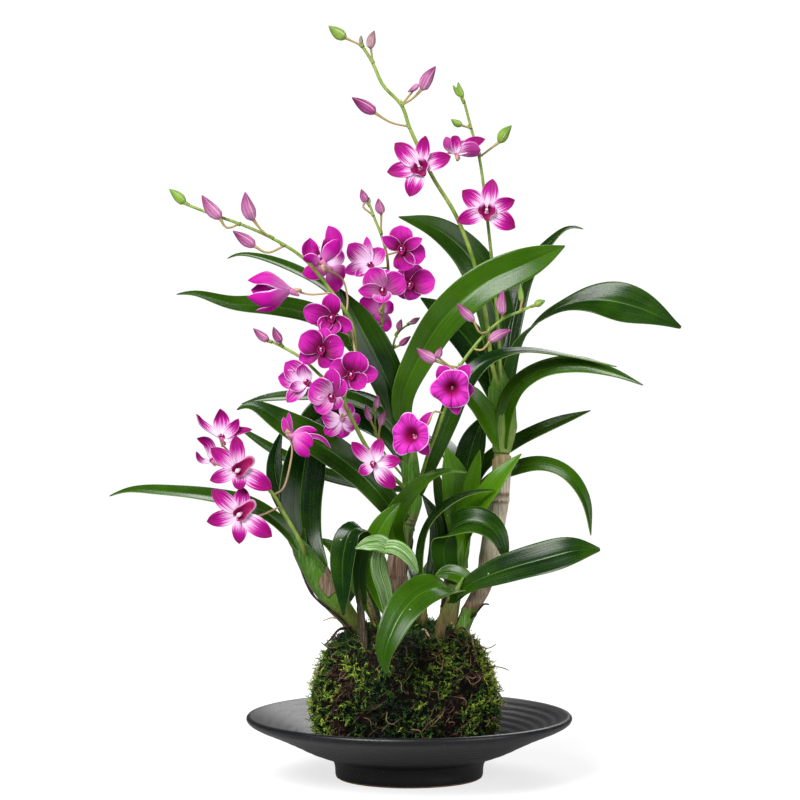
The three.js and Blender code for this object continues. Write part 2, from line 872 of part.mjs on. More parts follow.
// Rings round a path from its last station back to its first, each turned as little as possible from the
// one before. A station is a point of the path and the radius there.
function ringsAlong(stations, sides, extra = 0, hint = new THREE.Vector3(0.31, -0.9, 0.22)) {
  const last = stations.length - 1;
  const curve = new THREE.CatmullRomCurve3(stations.map(([point]) => point), false, "centripetal");
  let before = hint;
  const rings = [];
  for (let i = last; i >= 0; i--) {
    const [point, radius] = stations[i];
    const ahead = curve.getTangent(i / last);
    const normal = before.clone().addScaledVector(ahead, -before.dot(ahead)).normalize();
    const side = new THREE.Vector3().crossVectors(ahead, normal);
    const beyond = i === 0 ? -extra : i === last ? extra : 0;
    const centre = point.clone().addScaledVector(ahead, beyond);
    rings.unshift(ring(centre, normal, side, radius + extra, sides));
    before = normal;
  }
  return rings;
}

function ring(centre, across, beside, radius, sides) {
  const points = [];
  for (let j = 0; j < sides; j++) {
    const turn = (2 * Math.PI * j) / sides;
    const spot = centre.clone().addScaledVector(across, radius * Math.cos(turn));
    points.push(spot.addScaledVector(beside, radius * Math.sin(turn)));
  }
  return points;
}

function turned(stations, sides, extra = 0) {
  return loft(ringsAlong(stations, sides, extra));
}

function cane([points, radii], extra = 0) {
  return turned(points.map((point, i) => [seen(point), radii[i]]), CANE_SIDES, extra);
}

function leafyShoot(shoot, extra = 0) {
  return union([cane(shoot.stem, extra), ...shoot.leaves.map((row) => leaf(row, extra))]);
}

// Widths of sepals, petals and lip as shares of the bloom's breadth, the length of the lip as a share of a
// sepal's, and the angles of the petals and the lower sepals from the upper one.
const FORMS = {
  star: { sepal: 0.25, petal: 0.27, lip: 0.22, reach: 0.55, petalAngle: 56, sepalAngle: 116 },
  round: { sepal: 0.3, petal: 0.5, lip: 0.28, reach: 0.6, petalAngle: 64, sepalAngle: 130 },
};

// Places along a sepal or petal, with its share of the full width there.
const TEPAL_OUTLINE = [[0.28, 0.85], [0.66, 1], [1, 0.18]];

// Rings of the cup from back to front as shares of the bloom's breadth: place along its axis, radius.
const CUP_OUTLINE = [[-0.12, 0.1], [-0.03, 0.1], [0.06, 0.1], [0.15, 0.06]];

// Stations of a bud on its stalk, from the flower stem outwards.
function budStations([base, tip, width, path]) {
  const from = seen(base);
  const axis = seen(tip).sub(from);
  const outline = [[0, 0.3], [0.3, 0.95], [0.62, 0.8], [1, 0.14]];
  const bulb = outline.map(([along, share]) => {
    return [from.clone().addScaledVector(axis, along), (share * width) / 2];
  });
  const stalk = path.toReversed().map((point) => [seen(point), PEDICEL_RADIUS]);
  return [...stalk, ...bulb];
}

function spray({ stem, buds }, extra = 0) {
  const [points, radius] = stem;
  const stations = points.map((point, i) => [seen(point), radius * (1 - i / (3 * points.length))]);
  const parts = [turned(stations, STEM_SIDES, extra)];
  for (const row of buds) parts.push(turned(budStations(row), BUD_SIDES, extra));
  return union(parts);
}

// Rings of a sepal or petal beyond its base: it stands at an angle round the flower's axis and leans out
// from the axis by one angle at its base and another at its tip.
function tepalRings({ right, up, out }, base, angle, length, width, leanBase, leanTip) {
  const away = right.clone().multiplyScalar(Math.cos(angle)).addScaledVector(up, Math.sin(angle));
  const across = new THREE.Vector3().crossVectors(out, away);
  const rings = [];
  let spot = base.clone();
  let before = 0;
  for (const [u, share] of TEPAL_OUTLINE) {
    const lean = leanBase + (leanTip - leanBase) * u;
    const ahead = out.clone().multiplyScalar(Math.cos(lean)).addScaledVector(away, Math.sin(lean));
    const normal = out.clone().multiplyScalar(Math.sin(lean)).addScaledVector(away, -Math.cos(lean));
    spot = spot.clone().addScaledVector(ahead, (u - before) * length);
    before = u;
    const half = (share * width) / 2;
    const thick = TEPAL_THICKNESS / 2;
    const edge = (s, n) => spot.clone().addScaledVector(across, s * half).addScaledVector(normal, n * thick);
    rings.push([edge(-1, 1), edge(-1, -1), edge(1, -1), edge(1, 1)]);
  }
  return rings;
}

// The place on the axis of the nearest flower stem.
function nearestStem(point) {
  let best = null;
  for (const { stem: [stations] } of Object.values(SPRAYS)) {
    const axis = stations.map(seen);
    for (let i = 0; i + 1 < axis.length; i++) {
      const piece = new THREE.Line3(axis[i], axis[i + 1]);
      const spot = piece.closestPointToPoint(point, true, new THREE.Vector3());
      if (!best || spot.distanceTo(point) < best.distanceTo(point)) best = spot;
    }
  }
  return best;
}

// A bloom: a stalk that widens into a six-sided cup. The three sepals stand out from facets of the cup's
// rear band, the two petals and the lip from the facets between them, of its front band.
function bloom([centre, facing, turn, breadth, open, form, path]) {
  const out = new THREE.Vector3(...facing).normalize();
  const right = new THREE.Vector3(-out.y, out.x, 0).normalize();
  const up = new THREE.Vector3().crossVectors(out, right);
  const frame = { right, up, out };
  const heart = seen(centre);
  const shape = FORMS[form];
  const lean = THREE.MathUtils.degToRad(25 + 62 * open);
  const tip = THREE.MathUtils.degToRad(5 + 85 * open);
  const angle = (degrees) => THREE.MathUtils.degToRad(turn + 90 + degrees);
  const along = (share) => heart.clone().addScaledVector(out, share * breadth);
  const corner = right.clone().applyAxisAngle(out, angle(-30));
  const beside = new THREE.Vector3().crossVectors(out, corner);

  const made = skin();
  const stalk = [nearestStem(seen(path.at(-1))), ...path.slice(0, -1).map(seen).toReversed(), along(-0.22)];
  const stations = stalk.map((point) => [point, PEDICEL_RADIUS]);
  const rings = ringsAlong(stations, 6, 0, corner);
  for (const [share, r] of CUP_OUTLINE) rings.push(ring(along(share), corner, beside, r * breadth, 6));
  const added = rings.map((points) => made.add(points));
  const rear = added.length - 4;
  const front = added.length - 3;

  made.cap(added[0], true);
  made.cap(added.at(-1));
  added.slice(1).forEach((next, i) => {
    const holdsTepals = (facet) => (i === rear && facet % 2 === 0) || (i === front && facet % 2 === 1);
    made.bridge(added[i], next, holdsTepals);
  });

  const tepals = [
    [rear, 0, 0, 1, shape.sepal, lean, tip],
    [rear, 2, shape.sepalAngle, 1, shape.sepal, lean, tip],
    [rear, 4, -shape.sepalAngle, 1, shape.sepal, lean, tip],
    [front, 1, shape.petalAngle, 0.96, shape.petal * (0.4 + 0.6 * open), lean, tip],
    [front, 5, -shape.petalAngle, 0.96, shape.petal * (0.4 + 0.6 * open), lean, tip],
    [front, 3, 180, shape.reach, shape.lip, lean * 0.6, tip * 0.9],
  ];
  for (const [band, facet, degrees, reach, width, leanBase, leanTip] of tepals) {
    const next = (facet + 1) % 6;
    const hole = [added[band + 1][facet], added[band][facet], added[band][next], added[band + 1][next]];
    const base = [rings[band + 1][facet], rings[band][facet], rings[band][next], rings[band + 1][next]]
      .reduce((sum, point) => sum.addScaledVector(point, 0.25), new THREE.Vector3());
    const length = (0.5 * reach - 0.09) * breadth;
    const blade = tepalRings(frame, base, angle(degrees), length, width * breadth, leanBase, leanTip);
    const bladeRings = [hole, ...blade.map((points) => made.add(points))];
    for (let i = 0; i + 1 < bladeRings.length; i++) made.bridge(bladeRings[i], bladeRings[i + 1]);
    made.cap(bladeRings.at(-1));
  }
  return made.close();
}

function dish() {
  const profile = [
    [0, 0], [FOOT_RADIUS - 1.2, 0], [FOOT_RADIUS, 1.4], [FOOT_RADIUS, FOOT_HEIGHT - 2.5],
    [FOOT_RADIUS + 2, FOOT_HEIGHT], [FOOT_RADIUS + 8, FOOT_HEIGHT + 3], [78, 24], [DISH_RADIUS - 4, 34.5],
    [DISH_RADIUS, 38.5], [DISH_RADIUS - 1.6, DISH_HEIGHT], [DISH_RADIUS - 5, DISH_HEIGHT - 1],
    [80, 30.5], [62, 21], [FLOOR_RADIUS, FLOOR_HEIGHT + 1.6], [FLOOR_RADIUS - 6, FLOOR_HEIGHT],
    [0, FLOOR_HEIGHT],
  ].map(([r, z]) => new THREE.Vector2(r, z));
  const spun = new THREE.LatheGeometry(profile, DISH_SIDES);
  spun.rotateX(Math.PI / 2);
  const made = solid(spun);
  if (made.volume() > 0) return made;
  return solid(spun.setIndex(new THREE.BufferAttribute(spun.index.array.toReversed(), 1)));
}

// Height of the moss above the ball, in cushions and hollows of a few millimetres.
function mossRelief(angle, height) {
  const a = Math.sin(9 * angle + 0.13 * height) * Math.sin(0.31 * height - 2 * angle);
  const b = Math.sin(5 * angle - 0.21 * height + 1.3) * Math.cos(0.17 * height + 7 * angle);
  return TUFT_HEIGHT * (0.6 * a + 0.7 * b);
}

function mossBall(extra = 0) {
  const rings = BALL_OUTLINE.map(([height, radius], row) => {
    const ring = [];
    for (let j = 0; j < BALL_SIDES; j++) {
      const angle = (2 * Math.PI * (j + (row % 2) / 2)) / BALL_SIDES;
      const relief = mossRelief(angle, height);
      const r = radius + (row > 0 ? relief : 0) + extra;
      const lift = row > 1 ? 0.5 * mossRelief(angle + 1, height) : 0;
      ring.push(new THREE.Vector3(BALL_OFFSET + r * Math.cos(angle), r * Math.sin(angle), height + lift));
    }
    return ring;
  });
  return loft(rings);
}

function aerialRoots() {
  return union(AERIAL_ROOTS.map((points) => turned(points.map((point) => [seen(point), ROOT_RADIUS]), 4)));
}

// Assembly

const COLOURS = {
  leaf: [0x2f6b1e, 0.35],
  cane: [0xb3a488, 0.7],
  moss: [0x3f5a1c, 1],
  stoneware: [0x25262a, 0.45],
  petal: [0xc2189a, 0.5],
  flower_stem: [0x86a83e, 0.5],
  root: [0x5b3d2a, 0.9],
};

const orchid = new THREE.Group();

// Adds a named piece, cut clear of the pieces given as cutters.
function place(name, made, colour, cutters = []) {
  let body = made;
  for (const cutter of cutters) body = body.subtract(cutter);
  body = mainBody(body).simplify(0.03);
  const [tint, roughness] = COLOURS[colour];
  const material = new THREE.MeshStandardMaterial({ color: tint, roughness, metalness: 0 });
  const mesh = new THREE.Mesh(surface(body), material);
  mesh.name = name;
  orchid.add(mesh);
}

const SHOOTS = {
  left_shoot: LEFT_SHOOT,
  centre_shoot: CENTRE_SHOOT,
  small_shoot: SMALL_SHOOT,
  thin_shoot: THIN_SHOOT,
  right_shoot: RIGHT_SHOOT,
  back_shoot: BACK_SHOOT,
  front_shoot: FRONT_SHOOT,
  young_shoot: YOUNG_SHOOT,
  drooping_shoot: DROOPING_SHOOT,
  low_left_shoot: LOW_LEFT_SHOOT,
  low_back_shoot: LOW_BACK_SHOOT,
};
const CANES = { centre_cane: CENTRE_CANE, right_cane: RIGHT_CANE, back_cane: BACK_CANE };

const room = [];
for (const [name, row] of Object.entries(CANES)) {
  place(name, cane(row), "cane", room);
  room.push(cane(row, GAP));
}
for (const [name, row] of Object.entries(SHOOTS)) {
  place(name, leafyShoot(row), "leaf", room);
  room.push(leafyShoot(row, GAP));
}
place("dish", dish(), "stoneware");
place("moss_ball", mossBall(), "moss", room);
place("aerial_roots", aerialRoots(), "root", [...room, mossBall(GAP)]);
for (const [name, row] of Object.entries(SPRAYS)) {
  place(name, spray(row), "flower_stem", room);
  room.push(spray(row, GAP));
}
for (const [name, row] of Object.entries(BLOOMS)) place(name, bloom(row), "petal", room);

export default orchid;
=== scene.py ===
"""The looks of a dendrobium orchid that grows in a ball of moss on a footed dish of black stoneware."""
import math
import random

import bpy
import numpy as np
from mathutils import Matrix, Vector, noise


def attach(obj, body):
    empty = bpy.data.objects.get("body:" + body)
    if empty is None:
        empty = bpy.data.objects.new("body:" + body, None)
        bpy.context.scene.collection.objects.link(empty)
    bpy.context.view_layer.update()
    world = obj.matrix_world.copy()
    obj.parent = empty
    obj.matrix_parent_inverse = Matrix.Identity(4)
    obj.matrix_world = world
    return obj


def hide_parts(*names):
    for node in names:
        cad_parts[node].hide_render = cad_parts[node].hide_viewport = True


bl_info = {
    "name": "Potted Dendrobium",
    "version": (1, 0, 0),
    "blender": (4, 5, 0),
    "location": "3D View > Sidebar > Orchid",
    "description": "Models the leaves, blooms, moss and dish of a dendrobium orchid",
    "category": "Add Mesh",
}

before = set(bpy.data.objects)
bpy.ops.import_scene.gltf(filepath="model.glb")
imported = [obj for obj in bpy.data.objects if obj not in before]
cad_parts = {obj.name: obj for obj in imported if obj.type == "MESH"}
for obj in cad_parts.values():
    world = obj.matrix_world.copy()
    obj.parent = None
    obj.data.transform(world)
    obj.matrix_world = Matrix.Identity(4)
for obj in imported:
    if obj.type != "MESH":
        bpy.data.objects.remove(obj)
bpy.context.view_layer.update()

MM = 0.001
WELD = 1e-6
BODY = "root"

# The viewpoint from the front, in millimetres: the plant is laid out as it shows from here.
EYE = Vector((-6, -2000, 331))
AIM_HEIGHT = 0.2456
VIEW_WIDTH = 0.5184
SENSOR_WIDTH = 36
FLOOR_RADIUS = 1.2

# Places along a path, and the distance between the rows of a leaf and of a stem.
TRACK_SAMPLES = 160
LEAF_STEP = 0.0065
STEM_STEP = 0.0022

# Dish: the throwing rings on its slope lie between two radii.
BARE_CLAY_HEIGHT = 0.0014
RINGS_FROM = 0.056
RINGS_TO = 0.1015
DISH_PROFILE = [
    (0, 2.2), (36, 2.2), (39.5, 1.8), (41, 0.4), (42.4, 0), (46, 0), (47.4, 0.6), (48, 2), (48.2, 5),
    (48.5, 8), (49.4, 10.6), (51.6, 12.6), (55.5, 14.2), (60, 15.8), (67, 18.6), (78, 24), (90, 29.5),
    (99, 33.2), (103.6, 35.6), (105.6, 37.5), (106, 39), (105.4, 40.3), (103.8, 41), (101.6, 40.2),
    (97, 38.1), (90, 34.9), (80, 30.3), (71, 25.7), (62, 20.9), (55, 17.5), (49, 15.3), (44, 14.2),
    (30, 14), (0, 14),
]
DISH_COLUMNS = 120
DISH_ROWS = 170

# Moss ball
BALL_OFFSET = -3
RIDGE_HEIGHT = 3.2
SPRIG_KINDS = 6
SPRIG_LEAFLETS = 7

# Dry patches on the front of the ball: how each shows across and up, and its size.
DRY_PATCHES = ((35, 90, 12), (38, 65, 10), (28, 42, 9), (-20, 80, 11), (-45, 52, 8))

# Sizes of stems, in metres but for the taper beyond a shoot's last point.
SCAR_HEIGHT = 0.00045
SCAR_WIDTH = 0.0011
SHEATH_WALL = 0.0004
BUD_STALK_RADIUS = 0.0008
SHOOT_TAPER = 14

# A shoot: a row with points along its stem and the radius at each, and a row for each leaf. A leaf: points
# along its midrib from base to tip, its width at even steps, how fresh its green is (at 1 it is streaked
# with cream), and the way its upper side faces on the way. One number for the width is its greatest, and
# where that lies, as a share of the length, may follow at the end of the row.
SHOOTS = {
    "left_shoot": [
        ([(-26, 2, 78), (-36, -9, 99), (-49, -16, 116), (-61, -18, 133), (-70, -18, 148)],
          [4.5, 5.5, 8, 8, 6]),
        ([(-66, -18, 142), (-84, -22, 165), (-103, -26, 177), (-128, -28, 183), (-155, -24, 186),
          (-183, -18, 187), (-195, -16, 183)], 16, 0.35, [(0.4, -0.8, 0.5), (0, -0.5, 0.9),
          (0, -0.4, 0.9)]),
        ([(-58, -12, 134), (-68, -4, 156), (-71, 0, 178), (-68, 4, 203), (-64, 8, 230)], 29, 0.05,
          [(0.2, -1, 0.1), (0.1, -1, 0.1), (0.1, -1, 0.1)], 0.56),
        ([(-67, -16, 141), (-75, 4, 168), (-86, 12, 192), (-87, 16, 210), (-82, 18, 227)], 13, 0.12,
          [(-0.2, -1, 0.1), (-0.2, -1, 0.1), (0, -1, 0.1)]),
    ],
    "centre_shoot": [
        ([(-2, 0, 165), (2, 0, 180), (1, 2, 200), (-2, 3, 220), (-4, 2, 236)], [6, 5.6, 5.2, 4.6, 3.6]),
        ([(-3, 0, 226), (-4, -8, 248), (7, -16, 274), (23, -24, 299), (48, -28, 321), (76, -30, 334),
          (101, -26, 345.5)], 24, 0.46, [(-0.2, -1, 0.1), (0.2, -1, 0.3), (0.1, -1, 0.3)], 0.62),
        ([(-4, 0, 224), (-10, -6, 248), (-20, -11, 271), (-31, -14, 292), (-45, -14, 318)], 25, 0.14,
          [(0.2, -1, 0.2), (0.2, -1, 0.3), (0.2, -1, 0.4)]),
        ([(-4, 4, 228), (-15, 14, 260), (-31, 19, 294), (-50, 20, 316), (-72, 16, 329), (-96, 12, 338),
          (-112, 8, 340), (-118, 6, 337)], 13, 0.3, [(0.2, -1, 0.2), (0.2, -0.6, 0.8), (0.2, -0.5, 0.9)]),
        ([(-4, 2, 222), (-18, 4, 256), (-36, 4, 284), (-60, 1, 300), (-86, -2, 306), (-115, -5, 308),
          (-140, -8, 315), (-151, -10, 314)], 17, 0.26, [(0.3, -1, 0.2), (0.1, -0.8, 0.6), (0, -0.7, 0.7)]),
        ([(-3, 6, 218), (-22, 19, 239), (-46, 22, 248), (-75, 16, 248), (-96, 2, 246), (-109, -6, 243)], 13,
          0.22, [(0.2, -0.8, 0.6), (0.1, -0.6, 0.8), (0, -0.5, 0.9)]),
        ([(-1, 0, 158), (-11, -12, 174), (-30, -21, 196), (-55, -26, 215), (-82, -26, 231),
          (-104, -22, 243), (-112, -20, 239)], 23, 0.2, [(0.3, -1, 0.3), (0.4, -0.9, 0.5),
          (0.2, -0.8, 0.6)]),
        ([(-2, 6, 206), (-14, 26, 228), (-38, 36, 240), (-60, 38, 233), (-76, 34, 212)], 27, 0.08,
          [(0, -0.9, 0.4), (0.1, -0.9, 0.4), (-0.2, -0.9, 0.3)]),
        ([(0, 4, 186), (-28, 28, 190), (-60, 36, 199), (-88, 34, 213), (-115, 28, 231)], 11, 0.3,
          [(0.2, -0.8, 0.6), (0.2, -0.7, 0.6), (0.2, -0.7, 0.7)]),
        ([(-4, -3, 148), (-11, -16, 162), (-8, -23, 174), (3, -28, 188), (17, -32, 198), (28, -32, 200),
          (38, -30, 198)], [9, 13, 14.5, 13, 10, 7.5, 5, 0.5], 0.5, [(-0.4, -1, 0.2), (0.5, -0.9, 0.3),
          (0.2, -0.5, 0.9)]),
        ([(5, -3, 184), (15, -12, 208), (25, -20, 232), (34, -23, 254), (49, -23, 270), (72, -23, 277),
          (102, -21, 274), (135, -17, 267)], 15, 0.14, [(0.5, -1, 0.2), (0.1, -0.8, 0.5), (0, -0.15, 1),
          (0, -0.15, 1)]),
        ([(-1, 6, 196), (-10, 38, 226), (-20, 74, 241), (-28, 110, 228)], 20, 0.2, [(0, 0.3, 1),
          (0, 0.2, 1), (0, 0.7, 0.7)]),
    ],
    "small_shoot": [
        ([(25, 8, 78), (28, 6, 110), (31, 4, 130), (35, 3, 148), (36, 3, 156)], [3.6, 4.6, 4.8, 4.2, 3]),
        ([(30.9, 2, 123.8), (24.5, -8, 135.4), (22.5, -16, 150.3), (29.6, -24, 163.3), (42.6, -29, 167.2),
          (54.9, -32, 161.4), (60.7, -33, 151), (62, -33, 144.5)],
          [9, 13, 17, 18, 18, 20, 22, 22, 19, 12, 5], 0.2, [(0.2, 0.9, 0.3), (0.1, 0.8, 0.5),
          (0.1, -0.5, 0.8), (0.3, -0.85, 0.5), (0.3, -0.9, 0.3)]),
        ([(34, 2, 142), (35, 0, 156), (42, -5, 172), (52, -8, 187), (62, -9, 200), (73, -7, 211)], 15, 0.78,
          [(-0.4, -0.9, 0.2), (-0.5, -0.8, 0.3), (-0.4, -0.9, 0.3)]),
        ([(35, 4, 148), (32, 11, 168), (31, 12, 188), (24, 10, 215)], 20, 0.72, [(0.1, -1, 0)]),
        ([(36, 3, 150), (38, 5, 172), (41, 5, 192), (46, 4, 214)], 11, 0.74, [(-0.2, -1, 0)]),
        ([(32, 6, 140), (24, 17, 168), (20, 19, 186), (16, 19, 204)], 10, 0.3, [(-0.3, -1, 0)]),
    ],
    "thin_shoot": [
        ([(8, -6, 78), (9, -6, 104), (9, -6, 122)], [2.6, 2.8, 2.2]),
        ([(9, -6, 118), (7, -9, 144), (13, -13, 166), (28, -15, 180), (43, -15, 186), (56, -13, 187)], 9,
          0.15, [(-0.5, -0.6, 0.4), (-0.5, -0.5, 0.8), (0, -0.5, 0.9)]),
        ([(10, -5, 116), (16, 4, 138), (18, 8, 153), (17, 10, 168), (8, 10, 185)], 12, 0.2, [(0.4, -1, 0.1),
          (0.4, -0.9, 0.1), (0.4, -0.9, 0.3)]),
    ],
    "right_shoot": [
        ([(60, 8, 211), (61, 8, 228), (60, 8, 244), (59, 8, 256)], [5.2, 8.2, 8.2, 6.5]),
        ([(61, 3, 214), (62, -1, 236), (70, -8, 254), (87, -14, 265), (108, -18, 268), (132, -16, 263),
          (152, -12, 255)], 17, 0.36, [(-0.4, -1, 0.1), (-0.2, -0.6, 0.8), (0, -0.5, 0.9)]),
        ([(59, 4, 214), (50, -4, 234), (41, -9, 247), (30, -9, 258)], 18, 0.55, [(0.4, -0.9, 0.4),
          (0.4, -0.8, 0.5), (0.3, -0.9, 0.4)]),
        ([(62, 10, 239.8), (65.9, 14, 261.8), (71.1, 16, 281.9), (84.7, 13, 297.4), (102.2, 8, 307.2),
          (124.9, 3, 310.4), (150.8, -2, 304.6), (176.1, -8, 292.3)],
          [13, 14, 14, 12, 10, 9, 20, 28, 26, 14, 0.5], 0.2, [(-0.5, 0.9, 0.2), (-0.6, 0.5, 0.6),
          (-0.1, -0.7, 0.9), (0, -1, 0.25), (0.1, -1, 0.3)]),
        ([(58, 11, 240), (50, 20, 266), (36, 26, 287), (20, 28, 303), (7, 26, 312)], 24, 0.04,
          [(0.3, -1, 0.2), (0.3, -0.9, 0.3), (0.3, -0.9, 0.3)]),
        ([(58.8, 12, 244.3), (58.8, 28, 277.4), (53.6, 38, 309.1), (39.4, 40, 337.6), (17.3, 36, 356.4),
          (-7.3, 30, 364.2)], 27, 0.2, [(0.1, -1, 0.2), (0.2, -1, 0.3), (0.3, -1, 0.5)]),
        ([(61, 12, 244), (64, 26, 274), (68, 36, 300), (75, 42, 325), (89, 44, 345), (104, 42, 358),
          (113, 40, 356)], 15, 0.15, [(-0.2, -1, 0), (-0.3, -0.8, 0.4), (-0.3, -0.3, 0.9)]),
        ([(60, 13, 236), (54, 44, 262), (47, 76, 272), (42, 108, 258)], 20, 0.2, [(0, 0.3, 1), (0, 0.2, 1),
          (0, 0.7, 0.7)]),
    ],
    "back_shoot": [
        ([(37, 34, 172), (39, 33, 184), (40, 32, 194)], [5, 4.6, 3]),
        ([(38, 33, 178), (47, 30, 202), (67, 27, 217), (91, 22, 229), (118, 18, 239)], 12, 0.36,
          [(-0.2, -0.9, 0.4), (-0.2, -0.7, 0.6), (-0.2, -0.7, 0.6)]),
        ([(39, 32, 176), (52, 30, 193), (69, 25, 201), (86, 18, 204), (102, 10, 198), (114, 4, 181),
          (118, 0, 157)], 13, 0.34, [(0, -0.7, 0.7), (0.2, -0.8, 0.7), (0.8, -0.6, 0.2)]),
        ([(39, 30, 178), (37, 24, 198), (41, 22, 217), (48, 22, 236)], 19, 0.1, [(0, -1, 0.1)]),
        ([(38, 37, 182), (28, 62, 208), (14, 88, 222), (4, 116, 212)], 20, 0.2, [(0, 0.3, 1), (0, 0.3, 1),
          (0, 0.8, 0.6)]),
    ],
    "front_shoot": [
        ([(18, -28, 78), (21, -29, 100), (26, -31, 112), (29, -32, 118)], [3, 3.4, 3.2, 2.4]),
        ([(25.8, -29, 112.1), (30.9, -30, 117.9), (38.1, -34, 125.1), (51.7, -39, 131.6), (71.1, -46, 138),
          (90.6, -52, 143.2), (108, -54, 147.8), (124.2, -52, 148.4)],
          [5, 7, 12, 16.5, 19.5, 21, 22.8, 23.5, 21.5, 14.5, 0.5], 0.15, [(0.1, -0.9, 0.4), (0, -0.9, 0.5),
          (0, -0.9, 0.5)]),
        ([(27, -31, 112.1), (32.2, -40, 117.9), (21.9, -56, 124.4), (7.6, -66, 119.9), (-4.1, -74, 108.2),
          (-11.8, -79, 93.3), (-16.4, -81, 79.1), (-14.4, -82, 66.1)],
          [6, 10, 16, 22, 25, 25, 23, 20, 16.5, 10.5, 0.5], 0.36, [(-0.4, 0.3, 0.9), (0, -0.5, 0.9),
          (-0.3, -0.9, 0.4), (-0.4, -1, 0.1), (-0.4, -1, 0.1)]),
        ([(39.4, -26, 121.2), (34.8, -18, 130.3), (25.8, -13, 133.5), (16, -13, 130.9)], 12, 0.4,
          [(0, -0.9, 0.4), (0, -0.9, 0.5), (0, -0.9, 0.5)]),
        ([(-11.2, -50, 147.8), (-19.6, -54, 152.3), (-28, -55, 151.6), (-35.2, -54, 149)], [9, 12, 10, 0.5],
          1, [(-0.1, -0.8, 0.6), (-0.1, -1, 0.3)]),
    ],
    "young_shoot": [
        ([(-13, -27, 78), (-14, -28, 100), (-15, -29, 112)], [2.8, 3, 2.4]),
        ([(-14, -29, 106), (-22, -31, 130), (-23, -32, 150), (-17, -32, 166), (-5, -32, 180)], 15, 0.55,
          [(0.1, -1, 0.1), (0, -1, 0.1), (0.1, -1, 0.2)]),
        ([(-13.1, -34, 106.9), (-15.7, -40, 121.2), (-20.3, -46, 137.4), (-17.7, -52, 149),
          (-8.6, -57, 149.7), (-0.2, -58, 143.2), (5.7, -55, 132.2)],
          [7, 9, 10, 11, 11, 11.5, 12.5, 12.5, 8.5, 0.5], 1, [(0.1, -1, 0.1), (0, -1, 0.2),
          (0.1, -0.7, 0.8), (0.3, -0.8, 0.6), (0.4, -0.9, 0.4)]),
    ],
    "drooping_shoot": [
        ([(-28, -36, 79.7), (-30.6, -36, 97.9), (-31.9, -35, 113.4)], [2.4, 2.6, 2.2]),
        ([(-31.3, -34, 112.1), (-32.6, -35, 134.1), (-29.3, -37, 154.9), (-30.6, -41, 163.3),
          (-37.8, -45, 161.4), (-41.6, -46, 151.6), (-43.6, -47, 136.7), (-42.9, -48, 120.5),
          (-42.9, -49, 105.6)], [7, 8, 9, 10, 12, 16, 18, 17, 13.5, 9, 0.5], 0.1, [(0.2, 0.9, 0.1),
          (0.1, 0.8, 0.3), (0, -0.6, 0.8), (-0.3, -1, 0.2), (-0.4, -1, 0.2)]),
    ],
    "low_left_shoot": [
        ([(-20, 6, 78), (-22, 6, 100), (-25, 5, 110)], [2.8, 3.2, 2.6]),
        ([(-23, 6, 104), (-31, 5, 122), (-41, 3, 139), (-51, 0, 151), (-60, -2, 156)], 14, 0.3,
          [(0.2, -0.9, 0.4), (0.2, -0.9, 0.4), (0.2, -0.8, 0.6)]),
        ([(-22, 8, 100), (-30, 40, 122), (-36, 74, 130), (-40, 104, 112)], 18, 0.12, [(0, 0.3, 1),
          (0, 0.2, 1), (0, 0.8, 0.6)]),
    ],
    "low_back_shoot": [
        ([(4, 26, 78), (5, 27, 104), (6, 28, 116)], [2.8, 3.2, 2.6]),
        ([(5, 28, 108), (0, 56, 132), (-6, 88, 140), (-10, 120, 124)], 19, 0.2, [(0, 0.3, 1), (0, 0.2, 1),
          (0, 0.8, 0.6)]),
        ([(6, 28, 110), (16, 54, 134), (28, 82, 146), (38, 108, 136)], 18, 0.2, [(0, 0.3, 1), (0, 0.2, 1),
          (0, 0.8, 0.6)]),
    ],
}

# A cane: points along it, and its radius at each.
CANES = {
    "centre_cane": ([(-10, 0, 78), (-9, 0, 112), (-8, 0, 135), (-5, 0, 152), (-2, 0, 165)],
        [5, 6.2, 6.4, 6.4, 5.8]),
    "right_cane": (
        [(28, 8, 78), (38, 8, 106), (48, 8, 125), (52, 8, 145), (55, 8, 163), (58, 8, 182), (60, 8, 200),
          (60, 8, 211)],
        [4.6, 5, 5.6, 6.4, 6.8, 6.8, 5.8, 4.9]),
    "back_cane": ([(20, 30, 78), (27, 34, 120), (33, 35, 150), (37, 34, 172)],
        [4.2, 5.2, 5.6, 5]),
}

